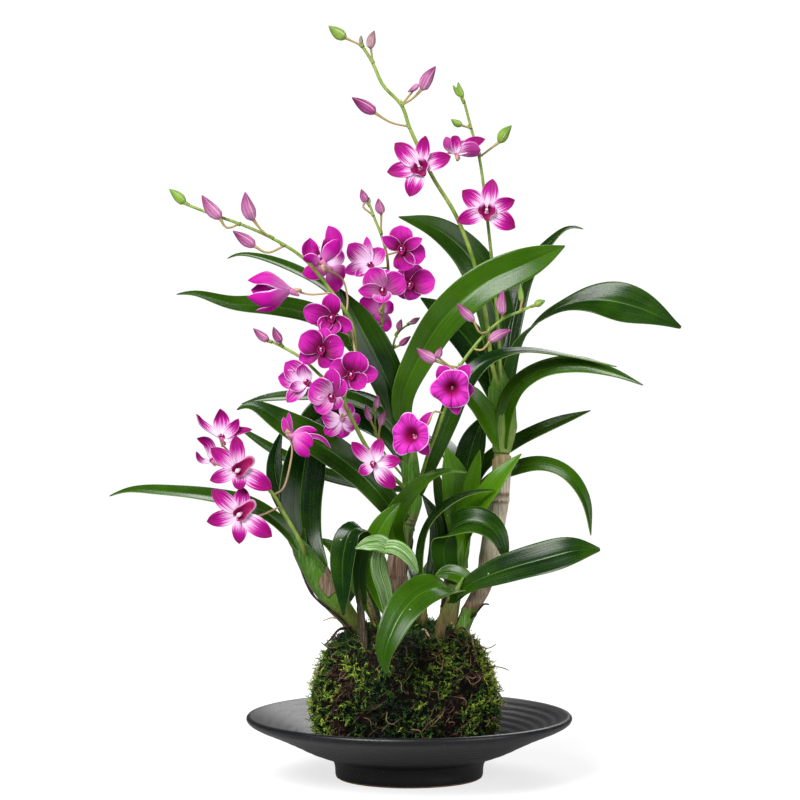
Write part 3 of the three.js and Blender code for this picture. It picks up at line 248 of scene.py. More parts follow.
# A flower stem: a row with points along it and its radius, and a row for each bud. A bud: its base, its
# tip, its greatest width, how ripe its colour is, and the points of its stalk down to the flower stem.
SPRAYS = {
    "spray_upper_left": [
        ([(2, 0, 184), (-12, -24, 197), (-25, -36, 211), (-35, -42, 229), (-42, -45, 246), (-38, -42, 262),
          (-35, -38, 278), (-38, -34, 297), (-52, -33, 318), (-68, -33, 337), (-88, -31, 350),
          (-108, -27, 359), (-128, -21, 366), (-146, -15, 373)], 1.4),
        ((-145, -15, 373), (-155, -14, 382), 7, 0, [(-143, -16, 372)]),
        ((-122, -29, 363), (-134, -30, 378), 9, 0.62, [(-118, -28, 357), (-110, -27, 359)]),
        ((-101, -34, 362), (-106, -37, 380), 9.5, 0.6, [(-96, -33, 356), (-89, -31, 350)]),
        ((-100, -38, 345), (-114, -40, 355), 8, 0.75, [(-92, -37, 341), (-81, -32, 345)]),
    ],
    "spray_left": [
        ([(-42, -45, 246), (-49, -47, 254), (-58, -48, 262), (-70, -47, 273), (-82, -44, 280),
          (-90, -42, 284)], 1.2),
        ((-91, -42, 284), (-101, -42, 292), 6, 0.75, [(-89, -42, 283.6)]),
        ((-83, -46, 283), (-88, -47, 293), 6, 1, [(-82, -44, 280)]),
    ],
    "spray_middle": [
        ([(-4, 2, 232), (-11, 2, 262), (-17, -4, 290), (-17, -12, 305), (-14, -18, 322), (-14, -20, 336),
          (-18, -20, 352), (-22, -18, 362), (-26, -16, 373)], 1.1),
        ((-28, -17, 373.5), (-31, -18, 382), 5.5, 0.8, [(-30, -17, 371), (-23, -17, 365)]),
        ((-26, -16, 372.5), (-26, -16, 377), 2.6, 0.3, [(-25, -16, 371)]),
        ((-18, -22, 366), (-20, -23, 376), 6.5, 0.7, [(-18, -20, 353)]),
    ],
    "spray_small": [
        ([(-4, 2, 234), (-9, -1, 262), (-11, -4, 276), (-8, -6, 288), (-3, -6, 293), (1, -6, 295)], 0.8),
        ((1, -6, 295), (7, -6, 299), 4, 0.45, [(-1, -6, 294)]),
        ((-7, -7, 291), (-5, -8, 298), 4.5, 0.7, [(-8, -6, 287)]),
        ((-6, -8, 281), (1, -10, 287), 4.5, 1, [(-10, -5, 279)]),
    ],
    "spray_tall": [
        ([(59, 6, 248), (53, -2, 272), (51, -2, 290), (48, -3, 310), (42, -6, 334), (35, -9, 354),
          (28, -11, 369), (15, -13, 390), (5, -14, 411), (0, -14, 422), (-5, -14, 436), (-17, -12, 449),
          (-24, -10, 464), (-31, -8, 475)], 1.5),
        ((-41, -9, 479), (-52, -10, 487), 8, 0.15, [(-31, -8, 474)]),
        ((-31, -8, 475), (-31, -8, 481), 3, 0.3, [(-30.6, -8, 474)]),
        ((-25, -13, 472.5), (-22.5, -14, 484), 6.5, 0.35, [(-23.5, -10.5, 463)]),
        ((8, -18, 446), (17, -20, 461), 8.5, 0.7, [(3, -17, 441), (-4.6, -14, 436)]),
        ((6, -19, 449.5), (-1, -20, 444.5), 4, 0.7, [(8, -18, 447)]),
        ((-22, -19, 431), (-37, -21, 441), 8.5, 0.95, [(-12, -17, 425), (-0.6, -14, 422)]),
    ],
    "spray_straight": [
        ([(60, 6, 250), (58, 1, 284), (56, 2, 310), (53, -1, 340), (51, -3, 358), (48, -5, 384),
          (45, -6, 403), (40, -4, 421), (35, -2, 440)], 1.2),
        ((34.6, -2, 441), (31.5, -2, 451), 4.2, 0.05, [(35, -2, 439)]),
        ((33, -2, 441.5), (28, -2, 449), 3.6, 0, [(35.4, -2.4, 438)]),
        ((34, -7, 423), (27, -8, 427), 5, 0.05, [(40, -4, 421)]),
        ((58, -9, 412), (66, -10, 423), 7.5, 0.1, [(46, -6, 402.5)]),
    ],
    "spray_right": [
        ([(2, 0, 186), (8, -16, 197), (12, -29, 210), (19, -42, 228), (25, -48, 245), (31, -50, 264),
          (41, -50, 279), (52, -48, 291), (62, -46, 299), (72, -43, 303), (80, -40, 307)], 1.2),
        ((81, -40, 307), (88, -39, 310), 5, 0.05, [(79, -40, 306.6)]),
        ((73, -44, 309), (72, -45, 321), 4, 0.15, [(71.6, -43, 303)]),
        ((60, -49, 301), (61, -51, 317), 6.8, 0.62, [(60, -46.5, 298)]),
        ((42, -54, 297), (31, -57, 308), 6.5, 0.62, [(46, -52, 289), (51, -48.4, 290)]),
        ((52, -55, 284), (66, -58, 291), 7, 0.65, [(47, -53, 278), (41, -50, 279)]),
        ((17, -52, 271), (5, -55, 279), 8, 0.5, [(25, -51, 268), (32.4, -50, 267)]),
        ((18, -53, 273), (21, -55, 280), 5, 0.7, [(16, -52, 271.4)]),
    ],
    "spray_low_left": [
        ([(-67, -22, 144), (-70, -30, 152), (-76, -32, 163), (-82, -34, 173), (-88, -37, 184),
          (-98, -37, 194), (-108, -36, 203), (-117, -37, 212)], 1.5),
    ],
    "spray_centre": [
        ([(1, 0, 190), (-9, -14, 202), (-16, -25, 211), (-20, -29, 219), (-22, -30, 229), (-22, -30, 239)],
          0.8),
        ((-22, -30, 240), (-20, -30, 249), 4.5, 0.55, [(-22, -30, 238)]),
        ((-25, -31, 232), (-28, -32, 243), 4.5, 0.62, [(-21, -29.6, 223)]),
        ((-19, -31, 229), (-15, -32, 239), 5, 0.5, [(-20.4, -29, 220)]),
    ],
}


# A bloom: its heart, the way it faces, its breadth, the kind of its lip, the way the lip points, how pale
# it is, and its tepals. A tepal: the angle at which it shows, its length, how far its tip stands towards
# the viewpoint, its width, and, where it differs from the rest, how pale it is and the way its front
# faces. Last come places on its stalk, the last of them on the flower stem.
BLOOMS = {
    "star_top": ((7, -24, 396), (-0.15, -1, 0.05), 42, "cup", 300, 0.75,
        [(80, 20.5, 3, 10), (136, 22.5, -1, 12.5), (188, 21.5, -1, 11), (250, 20, 1, 12.5),
         (20, 21, 0, 12)],
        [(11, -16, 397), (13.4, -14.6, 395)]),
    "star_second": ((50, -14, 368), (0, -1, 0), 40, "cup", 270, 0.75,
        [(79, 21, -1, 11.5), (140, 20.5, -1, 12.5), (21, 19.5, 2, 10), (200, 20.5, 3, 11),
         (329, 21.5, 0, 13)],
        [(50, -6, 366)]),
    "star_left": ((-111, -56, 200), (0.1, -1, 0.1), 41, "lobed", 39, 0.65,
        [(94, 22.2, -2, 10.5), (141, 22.3, -1, 11), (200, 19, 1, 9.5), (275, 12.5, 2, 9),
         (331, 24.6, 0, 12.5)],
        [(-106, -48, 199), (-98, -38, 194)]),
    "star_low": ((-110, -54, 171.5), (0.05, -1, 0.05), 41, "lobed", 40, 0.7,
        [(83, 17, -3, 11), (139, 23.7, -1, 11), (193, 21.6, 0, 11), (269, 19, 0, 10), (325, 25, 1, 12.5)],
        [(-100, -46, 170), (-84, -35, 176)]),
    "star_upright": ((-122, -46, 221.5), (-0.1, -0.35, 0.93), 34, "none", 300, 0.8,
        [(136, 21.6, 3, 8), (93, 18, -4, 11, 0.8, (0, -1, 0.1)), (47, 16.5, 3, 8, 0.7, (-0.2, -1, 0.3)),
         (14, 20.5, 1, 6.5, 0.6, (0, -0.8, 0.6)), (345, 15, 4, 6, 0.9, (0, -1, 0.4))],
        [(-121, -42, 216), (-116, -37, 211)]),
    "star_hidden": ((-128, -38, 206.5), (-0.75, -0.3, 0.6), 26, "none", 300, 0.5,
        [(124, 17, 2, 7.5, 0.5, (0.2, -1, 0.1)), (149, 11.5, 4, 4.5, 1, (0, -1, 0.6)), (110, 8, -5, 5, 0.5,
         (0, -1, 0)), (60, 7, -4, 6, 0.5, (0, -1, 0)), (20, 7, -4, 6, 0.5, (0, -1, 0))],
        [(-121, -36, 203), (-108, -36, 203)]),
    "star_centre": ((-23, -50, 204), (-0.3, -1, 0.1), 36, "none", 262, 0.8,
        [(74, 17, -2, 9.5), (135, 20, 0, 9), (8, 17.5, -1, 9.5), (312, 20.5, 0, 12), (212, 11, 3, 8)],
        [(-23, -43, 206), (-23.4, -38.6, 207.4)]),
    "cup_top": ((30, -16, 405.5), (-0.2, 0.35, 0.9), 30, "none", 300, 0.15,
        [(6, 16, 5, 12, 0.2, (0, 1, 0.8)), (122, 12, 2, 8, 0.2, (0, 1, 0.2)), (25, 21, -3, 9, 0.2,
         (0, -1, 0.3)), (55, 10, -4, 11, 0.2, (0, -1, 0.2)), (98, 11, -1, 7, 0.2, (0, -1, 0.1))],
        [(29, -15, 405), (11, -13.4, 402)]),
    "bell_upper": ((-57, -42, 336), (-0.25, 0.1, 0.96), 38, "none", 300, 0.0,
        [(170, 11.5, 6, 8, 0.15, (0, 1, 0.5)), (50, 17.5, 7, 11, 0.15, (0.2, 1, 0.5)), (79, 22.5, -3, 14, 0,
         (0, -1, 0.1)), (116, 16, -4, 13, 0, (0.2, -1, 0.1)), (54, 20, -5, 11, 0, (-0.2, -1, 0))],
        [(-58, -37, 334), (-59.6, -34.8, 331)]),
    "back_upper": ((-51, -20, 331), (0.2, 0.9, 0.2), 36, "none", 300, 0.4,
        [(165, 13, 3, 10, 0.6), (70, 14, 2, 13, 0.65), (330, 11, 4, 12, 0.4), (192, 18.5, 2, 12, 0.1),
         (283, 16, 3, 13, 0.05)],
        [(-44, -27, 325), (-40, -29, 312), (-37.6, -29.6, 303)]),
    "bell_left": ((-77.5, -36, 316.8), (-0.98, -0.15, 0.02), 42, "none", 300, 0.05,
        [(167, 27, 8, 14, 0.3), (189, 27, 8, 16), (211, 25, 4, 11, 0.2), (160, 23, -4, 15),
         (180, 25, -7, 17)],
        [(-72, -33, 316), (-64, -32.6, 314), (-50.4, -32.6, 315)]),
    "round_upper": ((-50, -48, 299), (-0.2, -0.95, -0.1), 38, "throat", 270, 0.2,
        [(165, 19, 0, 15), (91, 15.5, 3, 13), (330, 15, 2, 11), (262, 11, 2, 14), (222, 11, 1, 10)],
        [(-46, -42, 292), (-39.6, -38, 285.6)]),
    "round_left": ((-57, -58, 278), (-0.1, -1, 0.1), 38, "throat", 270, 0.1,
        [(143, 16, 1, 18), (80, 14.5, -1, 11), (12, 15, 1, 17), (304, 12.5, -1, 14), (205, 15.5, -2, 11)],
        [(-62, -53, 274), (-68, -48.6, 271.6)]),
    "round_centre": ((-38, -62, 262), (0.1, -1, 0), 38, "throat", 270, 0.1,
        [(70, 15.5, 1, 18), (158, 14.5, -3, 15), (2, 17.5, -1, 12), (318, 12, 1, 13), (262, 9, 0, 13)],
        [(-35, -48, 270), (-36.6, -40, 286), (-38.4, -33.4, 297.6)]),
    "round_lower": ((-50, -66, 248), (-0.25, -0.95, -0.15), 38, "throat", 270, 0.35,
        [(88, 18, 4, 12), (152, 15.5, 1, 19), (48, 13, 5, 12), (226, 14, -1, 12), (300, 9, 0, 12)],
        [(-49, -55, 247), (-46.6, -50.8, 245)]),
    "pale_left": ((-66, -54, 257), (-0.45, -0.85, 0.2), 36, "none", 300, 0.9,
        [(138, 19, 1, 15), (102, 12.5, 4, 12), (170, 19, -1, 13), (224, 18, 3, 11), (196, 12, 6, 8)],
        [(-60, -52, 257), (-57.6, -50.4, 260)]),
    "back_lower": ((-44, -34, 233), (-0.1, 0.8, -0.5), 36, "none", 300, 0.6,
        [(172, 12.5, 4, 13), (222, 14, 3, 11), (274, 12, 2, 12), (352, 12, 3, 16), (60, 12, 0, 11)],
        [(-42, -42, 235), (-40.6, -45.4, 236.4)]),
    "round_top": ((-5, -34, 343), (-0.1, -1, 0.1), 38, "throat", 270, 0.0,
        [(92, 15.5, -1, 16), (148, 15, 5, 9), (28, 15, 4, 8), (342, 16, -1, 15), (284, 14, -1, 15)],
        [(-9, -26, 341), (-14.6, -21.2, 339.6)]),
    "round_right": ((0, -28, 320), (0.1, -1, 0.1), 37, "throat", 270, 0.1,
        [(66, 14.5, -2, 15), (12, 17, 0, 17), (296, 10, -1, 13), (140, 12, -3, 14), (222, 10, -2, 12)],
        [(-5, -22, 325), (-12.6, -20.2, 329)]),
    "round_middle": ((-17, -40, 317), (-0.2, -0.95, -0.2), 38, "throat", 270, 0.35,
        [(124, 16, 0, 18), (30, 16, 3, 17), (182, 16, 2, 10), (270, 8.5, 2, 13), (78, 13, -3, 12)],
        [(-15, -30, 320), (-14.6, -20.4, 321)]),
    "pale_middle": ((-25, -28, 333), (-0.2, -0.95, 0.2), 34, "none", 300, 0.7,
        [(137, 19.5, 0, 14, 0.65), (98, 18.5, -2, 7, 1), (50, 13.5, 1, 12, 0.5), (196, 17.5, 3, 10.5, 0.95),
         (216, 12, 5, 7, 0.9)],
        [(-21, -22, 331), (-16, -20.4, 331)]),
    "back_middle": ((-19, -6, 303), (0, 0.9, -0.2), 34, "none", 300, 0.25,
        [(150, 15, 2, 14), (30, 10, 1, 10), (290, 14, 1, 11), (232, 9, 2, 9), (88, 8, -1, 9)],
        [(-19, -12, 302), (-18.2, -12.2, 302)]),
    "nodding": ((-75, -50, 222), (0.6, 0.35, -0.5), 36, "none", 300, 0.6,
        [(117, 14, 1, 5, 0.3, (0, -1, 0)), (102, 15.5, -2, 4, 0.3, (0, -1, 0)), (309, 16.5, 4, 9, 0.3,
         (0.2, 1, 0.2)), (14, 15.5, 2, 8, 0.3, (0, 1, 0.4)), (334, 13.5, 5, 11, 0.3, (0, 1, 0.1)), (341, 25,
         -4, 3.2, 0.3, (0, -1, 0))],
        [(-76, -48, 216), (-77.6, -46, 202), (-82, -41, 188), (-86.4, -39, 184.6)]),
    "cup_centre": ((4, -44, 222), (-0.42, -0.88, 0.16), 38, "funnel", 270, 0.15,
        [(103, 14, 3, 10), (168, 13, 3, 10), (238, 12, 3, 10), (306, 14.5, 3, 9), (56, 19, 2, 8)],
        [(13, -49, 232), (16, -48, 238), (21, -46, 237)]),
    "cup_right": ((28, -51, 254), (-0.1, -0.97, -0.1), 36, "funnel", 270, 0.2,
        [(122, 16, 3, 12), (52, 18, 3, 11), (350, 14, 3, 12), (280, 18, 2, 10), (192, 15, 3, 11)],
        [(29, -54, 258), (29.2, -51.6, 258)]),
}


# Height and radius of the moss ball from its underside to its crown.
BALL_OUTLINE = [
    (14.4, 38), (20, 50), (29, 58), (40, 60.5), (51, 61), (61, 59.5), (71, 56.5), (80, 52.5), (88, 47),
    (94, 38), (97.5, 23), (98.5, 9),
]

# Roots that stand free of the moss, each with its radius and how dry it is.
FREE_ROOTS = [
    ([(-34, -16, 92), (-46, -24, 105), (-60, -27, 116), (-67, -27, 127), (-70, -27, 134)], 0.0009, 0.25),
    ([(-38, -20, 98), (-46, -28, 96), (-50, -34, 91), (-55, -38, 86)], 0.0009, 0.25),
    ([(-52, -26, 110), (-62, -29, 118), (-68, -30, 128)], 0.0009, 0.25),
]

# Thin roots at the feet of the canes, in the same way.
SMALL_ROOTS = [
    ([(40, 4, 104), (45, 0, 109), (49, -2, 113), (52, -2, 112.5)], 0.0009, 0.1),
    ([(-40, -14, 102), (-50, -17, 104), (-56, -18, 102)], 0.0007, 0.8),
    ([(-20, -6, 96), (-24, -10, 108), (-27, -12, 118), (-24, -12, 124)], 0.0008, 0.3),
    ([(-14, -8, 96), (-17, -14, 108), (-20, -16, 120)], 0.0007, 0.2),
    ([(18, -14, 96), (22, -20, 104), (20, -24, 112)], 0.0007, 0.7),
    ([(30, -6, 94), (34, -14, 98), (40, -18, 92), (42, -20, 84)], 0.0009, 0.5),
    ([(6, -18, 94), (10, -26, 96), (14, -34, 88), (12, -40, 80)], 0.0008, 0.6),
]

# Places where a root stands off the moss, and how far.
LOOSE_ENDS = [
    (56, -8, 72, 9), (58, -6, 44, 10), (57, -10, 46, 7), (-58, -8, 60, 7), (-60, 4, 50, 6), (54, 6, 60, 7),
    (-50, -18, 84, 8), (30, -44, 70, 7), (50, -22, 84, 7),
]

# The outline of a bud: places along it, and the share of its greatest width there.
BUD_PLACES = (0, 0.1, 0.3, 0.46, 0.62, 0.8, 0.92, 1)
BUD_REACH = (0.3, 0.68, 0.98, 0.96, 0.8, 0.5, 0.26, 0.08)

# The outline of a tepal: how far its widest place is moved along it, and how blunt it is.
STAR_OUTLINE = (0.98, 0.62)
ROUND_OUTLINE = (1.12, 0.5)

# Kinds of lip, in shares of the bloom's breadth: radius of the cup, its depth, how far its lobe reaches, and
# the radius of the lobe. The kind named funnel has no lip of its own, because its tepals are joined.
LIPS = {
    "cup": (0.13, 0.09, 0.16, 0.055), "lobed": (0.095, 0.09, 0.32, 0.1), "throat": (0.058, 0.07, 0.1, 0.042),
    "none": (0.05, 0.06, 0.08, 0.03),
}
COLUMN_SIZES = {"cup": 0.52, "lobed": 0.85, "throat": 0.38, "none": 0.34, "funnel": 0.25}


def colour(code):
    """The linear colour of a hex code such as 2f6b1e."""
    parts = [int(code[i:i + 2], 16) / 255 for i in (0, 2, 4)]
    linear = [c / 12.92 if c <= 0.04045 else ((c + 0.055) / 1.055) ** 2.4 for c in parts]
    return (*linear, 1.0)


def colour_property(label, text, code):
    return bpy.props.FloatVectorProperty(
        name=label, description=text, subtype="COLOR", size=4, min=0, max=1, default=colour(code)
    )


def length_property(label, text, default):
    return bpy.props.FloatProperty(
        name=label, description=text, subtype="DISTANCE", unit="LENGTH", min=0, default=default
    )


def count_property(label, text, default):
    return bpy.props.IntProperty(name=label, description=text, min=0, default=default)


def power_property(label, text, default):
    return bpy.props.FloatProperty(name=label, description=text, unit="POWER", default=default)


class DishSettings(bpy.types.PropertyGroup):
    ring_depth: length_property("Ring depth", "Height of the throwing rings", 0.00016)
    ring_pitch: length_property("Ring pitch", "Distance from one throwing ring to the next", 0.0062)
    glaze: colour_property("Glaze", "Colour of the satin glaze", "08090c")
    glaze_thin: colour_property("Thin glaze", "Colour where the glaze lies thin", "121318")
    clay: colour_property("Clay", "Colour of the bare clay under the foot", "a5835f")


class MossSettings(bpy.types.PropertyGroup):
    tufts: count_property("Sprigs", "Number of moss sprigs", 9200)
    sprig_length: length_property("Sprig length", "Length of a moss sprig", 0.006)
    strands: count_property("Strands", "Number of roots that cross the moss", 420)
    # Shade and Bright are partly the moss's own old and young colours and partly painted shade in the gaps
    # and painted light on the ridge tops.
    shade: colour_property("Shade", "Colour of old moss deep in the ball", "030801")
    green: colour_property("Green", "Colour of most of the moss", "29540e")
    bright: colour_property("Bright", "Colour of young moss", "a0b63c")
    brown: colour_property("Brown", "Colour of dry moss and fibre", "54392e")
    strand: colour_property("Strand", "Colour of the crossing roots", "866a4c")


class LeafSettings(bpy.types.PropertyGroup):
    blade: length_property("Blade", "Thickness of a leaf's blade", 0.0009)
    deep: colour_property("Deep green", "Upper side of an old leaf", "062402")
    fresh: colour_property("Fresh green", "Upper side of a young leaf", "588f08")
    under: colour_property("Underside", "Lower side of a leaf", "2c5a12")
    margin: colour_property("Margin", "Line along a leaf's edge", "86a84e")
    rib: colour_property("Rib", "Line of the midrib", "568a2c")
    tip: colour_property("Tip", "Dry point of a leaf", "3a2a18")


class StemSettings(bpy.types.PropertyGroup):
    dry: colour_property("Dry cane", "Papery skin of an old cane", "c9bda2")
    ring: colour_property("Ring", "Scar round a cane", "7a5a3c")
    green: colour_property("Green cane", "Skin of a growing cane", "4f7e1e")
    flower_stem: colour_property("Flower stem", "Skin of a flower stem", "567a1e")
    stalk: colour_property("Stalk", "Skin of the stalk of a bud or bloom", "a89660")
    root: colour_property("Root", "Skin of a free root", "4d3426")


class BloomSettings(bpy.types.PropertyGroup):
    tepal: length_property("Tepal", "Thickness of a sepal or petal", 0.0006)
    magenta: colour_property("Magenta", "Colour of the tepals", "b80c96")
    bright: colour_property("Bright magenta", "Colour between the veins", "d234ba")
    deep: colour_property("Deep magenta", "Colour at the veins and the tips", "84045a")
    pale: colour_property("Pale", "Colour of the margins and on the backs", "f6c0f4")
    crimson: colour_property("Crimson", "Colour of the lip", "8e0648")
    throat: colour_property("Throat", "Colour in the throat", "5e0232")
    column: colour_property("Column", "Colour of the column", "f2d4d6")
    unripe: colour_property("Unripe bud", "Colour of a young bud", "8fb048")


class StageSettings(bpy.types.PropertyGroup):
    floor: colour_property("Floor", "Colour of the floor", "f4f4f4")
    key: power_property("Key", "Power of the key light", 108)
    fill: power_property("Fill", "Power of the fill light", 26)
    back: power_property("Back", "Power of the back light", 38)


SETTINGS = {
    "orchid_dish": DishSettings,
    "orchid_moss": MossSettings,
    "orchid_leaf": LeafSettings,
    "orchid_stem": StemSettings,
    "orchid_bloom": BloomSettings,
    "orchid_stage": StageSettings,
}


# Places and paths


def seen(point):
    """The place in metres of a point given by how it shows from the viewpoint and its depth."""
    across, depth, up = point
    reach = 1 - depth / EYE.y
    return (EYE + (Vector((across, 0, up)) - EYE) * reach) * MM


def unit(rows):
    return rows / np.maximum(np.linalg.norm(rows, axis=-1, keepdims=True), 1e-12)


def between(shares, places, rows):
    """Rows of numbers, read between their places."""
    return np.stack([np.interp(shares, places, rows[:, k]) for k in range(rows.shape[1])], axis=1)


def even_curve(points, samples):
    """Evenly spaced places on a smooth curve through points, looser where they lie far apart."""
    knots = np.array([tuple(p) for p in points], float)
    knots = np.vstack([2 * knots[0] - knots[1], knots, 2 * knots[-1] - knots[-2]])
    t = np.linspace(0, 1, 24, endpoint=False)[:, None]
    dense = []
    for a, b, c, d in zip(knots, knots[1:], knots[2:], knots[3:]):
        ab, bc, cd = (math.sqrt(max(np.linalg.norm(q - p), 1e-9)) for p, q in ((a, b), (b, c), (c, d)))
        leave = bc * ((b - a) / ab - (c - a) / (ab + bc) + (c - b) / bc)
        arrive = bc * ((c - b) / bc - (d - b) / (bc + cd) + (d - c) / cd)
        cubic = (2 * t**3 - 3 * t**2 + 1) * b + (t**3 - 2 * t**2 + t) * leave
        dense.append(cubic + (3 * t**2 - 2 * t**3) * c + (t**3 - t**2) * arrive)
    dense = np.vstack([*dense, knots[-2:-1]])
    far = np.concatenate([[0], np.cumsum(np.linalg.norm(np.diff(dense, axis=0), axis=1))])
    return between(np.linspace(0, far[-1], samples), far, dense)


class Track:
    """A smooth path with the directions across it that a blade or a tube needs."""

    def __init__(self, points, facings=None):
        self.shares = np.linspace(0, 1, TRACK_SAMPLES)
        self.centre = even_curve(points, TRACK_SAMPLES)
        self.length = np.linalg.norm(np.diff(self.centre, axis=0), axis=1).sum()
        self.ahead = unit(np.gradient(self.centre, axis=0))
        if facings is None:
            self.normal = self.carried(np.array([0.31, -0.9, 0.22]))
        else:
            rows = np.array(facings, float)
            hints = between(self.shares, np.linspace(0, 1, len(rows)), rows)
            self.normal = self.squared(hints, self.ahead)
        self.side = np.cross(self.ahead, self.normal)

    @staticmethod
    def squared(hints, ahead):
        return unit(hints - (hints * ahead).sum(axis=-1, keepdims=True) * ahead)

    def carried(self, hint):
        """A direction across the path, turned as little as possible on the way."""
        rows = []
        for ahead in self.ahead:
            hint = self.squared(hint, ahead)
            rows.append(hint)
        return np.array(rows)

    def at(self, shares):
        rows = (self.centre, self.ahead, self.normal, self.side)
        return [between(shares, self.shares, row) for row in rows]


def along(points, values):
    """A function of the share of the way along a path, from the values at its points."""
    places = np.array([tuple(p) for p in points], float)
    far = np.concatenate([[0], np.cumsum(np.linalg.norm(np.diff(places, axis=0), axis=1))])
    return lambda share: np.interp(share, far / far[-1], values)


# Pieces


def deselect():
    bpy.ops.object.select_all(action="DESELECT")


def pick(*pieces):
    deselect()
    for piece in pieces:
        piece.select_set(True)
    bpy.context.view_layer.objects.active = pieces[0]


def woven(name, columns, rows, place):
    """A grid laid on a surface: place(u, v) gives the points for shares across and along it."""
    deselect()
    bpy.ops.mesh.primitive_grid_add(x_subdivisions=columns, y_subdivisions=rows, size=1)
    piece = bpy.context.active_object
    piece.name = name
    flat = np.empty(len(piece.data.vertices) * 3)
    piece.data.vertices.foreach_get("co", flat)
    shares = flat.reshape(-1, 3) + 0.5
    laid = place(shares[:, 0], shares[:, 1])
    piece.data.vertices.foreach_set("co", np.ascontiguousarray(laid, float).ravel())
    piece.data.update()
    return piece


def weld(piece):
    """Joins the seam and the poles of a closed surface, and turns its faces outwards."""
    pick(piece)
    bpy.ops.object.mode_set(mode="EDIT")
    bpy.ops.mesh.select_all(action="SELECT")
    bpy.ops.mesh.remove_doubles(threshold=WELD)
    bpy.ops.mesh.normals_make_consistent(inside=False)
    bpy.ops.object.mode_set(mode="OBJECT")


def turned(first, second, angle):
    """Directions at an angle from the first direction towards the second."""
    return first * np.cos(angle)[:, None] + second * np.sin(angle)[:, None]


def tube(name, points, radius, sides, rows):
    """A closed tube along a path. Its radius is a function of the share along and the angle round."""
    track = Track(points)

    def place(u, v):
        inner = np.clip((v * rows - 1) / (rows - 2), 0, 1)
        centre, _, normal, side = track.at(inner)
        angle = 2 * math.pi * u
        reach = radius(inner, angle) * ((v > 0.5 / rows) & (v < 1 - 0.5 / rows))
        return centre + turned(normal, side, angle) * reach[:, None]

    piece = woven(name, sides, rows, place)
    weld(piece)
    return piece


def dress(piece, *materials):
    piece.data.materials.clear()
    for material in materials:
        piece.data.materials.append(material)


def mark(piece, name, value):
    """Stores a value at the points of a piece, for its material to read."""
    layer = piece.data.attributes.get(name) or piece.data.attributes.new(name, "FLOAT", "POINT")
    values = np.broadcast_to(np.asarray(value, np.float32), (len(piece.data.vertices),))
    layer.data.foreach_set("value", np.ascontiguousarray(values))


def joined(name, pieces):
    pick(*pieces)
    if len(pieces) > 1:
        bpy.ops.object.join()
    piece = bpy.context.active_object
    piece.name = piece.data.name = name
    return piece


def modified(piece, kind, **settings):
    """Adds a modifier to a piece, sets it and applies it."""
    pick(piece)
    bpy.ops.object.modifier_add(type=kind)
    modifier = piece.modifiers[-1]
    for name, value in settings.items():
        setattr(modifier, name, value)
    bpy.ops.object.modifier_apply(modifier=modifier.name)


def thicken(piece, thickness, back_slot=0):
    """Gives an open sheet its thickness, half to each side. Its back takes a material slot further on."""
    modified(piece, "SOLIDIFY", thickness=thickness, offset=0, material_offset=back_slot)


def soften(piece):
    modified(piece, "SUBSURF", levels=1, render_levels=1)


def settle(piece, slot, *nodes):
    """Shades a finished piece smooth, hangs it on the body, and hides the parts of model.glb that it stands
    in for.
    """
    pick(piece)
    bpy.ops.object.shade_smooth()
    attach(piece, BODY)
    if nodes:
        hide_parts(*nodes)


# Nodes


def feed(tree, socket, value):
    if isinstance(value, bpy.types.NodeSocket):
        tree.links.new(value, socket)
    else:
        socket.default_value = value


def tool(tree, kind, inputs=None, **settings):
    made = tree.nodes.new("ShaderNode" + kind)
    for name, value in settings.items():
        setattr(made, name, value)
    for name, value in (inputs or {}).items():
        feed(tree, made.inputs[name], value)
    return made


def maths(tree, operation, *values):
    made = tool(tree, "Math", operation=operation)
    for socket, value in zip(made.inputs, values):
        feed(tree, socket, value)
    return made.outputs[0]


def times(tree, first, second):
    return maths(tree, "MULTIPLY", first, second)


def plus(tree, first, second):
    return maths(tree, "ADD", first, second)


def blend(tree, share, first, second):
    made = tool(tree, "Mix", data_type="RGBA")
    feed(tree, made.inputs[0], share)
    feed(tree, made.inputs[6], first)
    feed(tree, made.inputs[7], second)
    return made.outputs[2]


def span(tree, value, low, high, start=0.0, end=1.0):
    """A smooth change from start to end as the value goes from low to high."""
    inputs = {"Value": value, "From Min": low, "From Max": high, "To Min": start, "To Max": end}
    return tool(tree, "MapRange", inputs, interpolation_type="SMOOTHSTEP").outputs["Result"]


def grain(tree, vector, scale, detail=2.0, roughness=0.5):
    inputs = {"Vector": vector, "Scale": scale, "Detail": detail, "Roughness": roughness}
    return tool(tree, "TexNoise", inputs).outputs["Fac"]


def place_here(tree):
    return tool(tree, "TexCoord").outputs["Object"]


def uv_here(tree):
    return tool(tree, "UVMap", uv_map="UVMap").outputs["UV"]


def split(tree, vector):
    return tool(tree, "SeparateXYZ", {"Vector": vector}).outputs


def value_of(tree, name):
    return tool(tree, "Attribute", attribute_name=name).outputs["Fac"]


def stretched(tree, vector, size):
    return tool(tree, "Mapping", {"Vector": vector, "Scale": size}).outputs["Vector"]


def new_group(name, inputs, outputs):
    """A node group with named sockets, and its own ends."""
    group = bpy.data.node_groups.new(name, "ShaderNodeTree")
    for label, default in inputs.items():
        kind = "NodeSocketColor" if isinstance(default, tuple) else "NodeSocketFloat"
        group.interface.new_socket(label, in_out="INPUT", socket_type=kind).default_value = default
    for label, kind in outputs.items():
        group.interface.new_socket(label, in_out="OUTPUT", socket_type="NodeSocket" + kind)
    start = group.nodes.new("NodeGroupInput")
    end = group.nodes.new("NodeGroupOutput")
    return group, start.outputs, end.inputs


def grouped(tree, name, inputs=None):
    made = tree.nodes.new("ShaderNodeGroup")
    made.node_tree = bpy.data.node_groups.get(name) or GROUPS[name](name)
    for label, value in (inputs or {}).items():
        feed(tree, made.inputs[label], value)
    return made.outputs


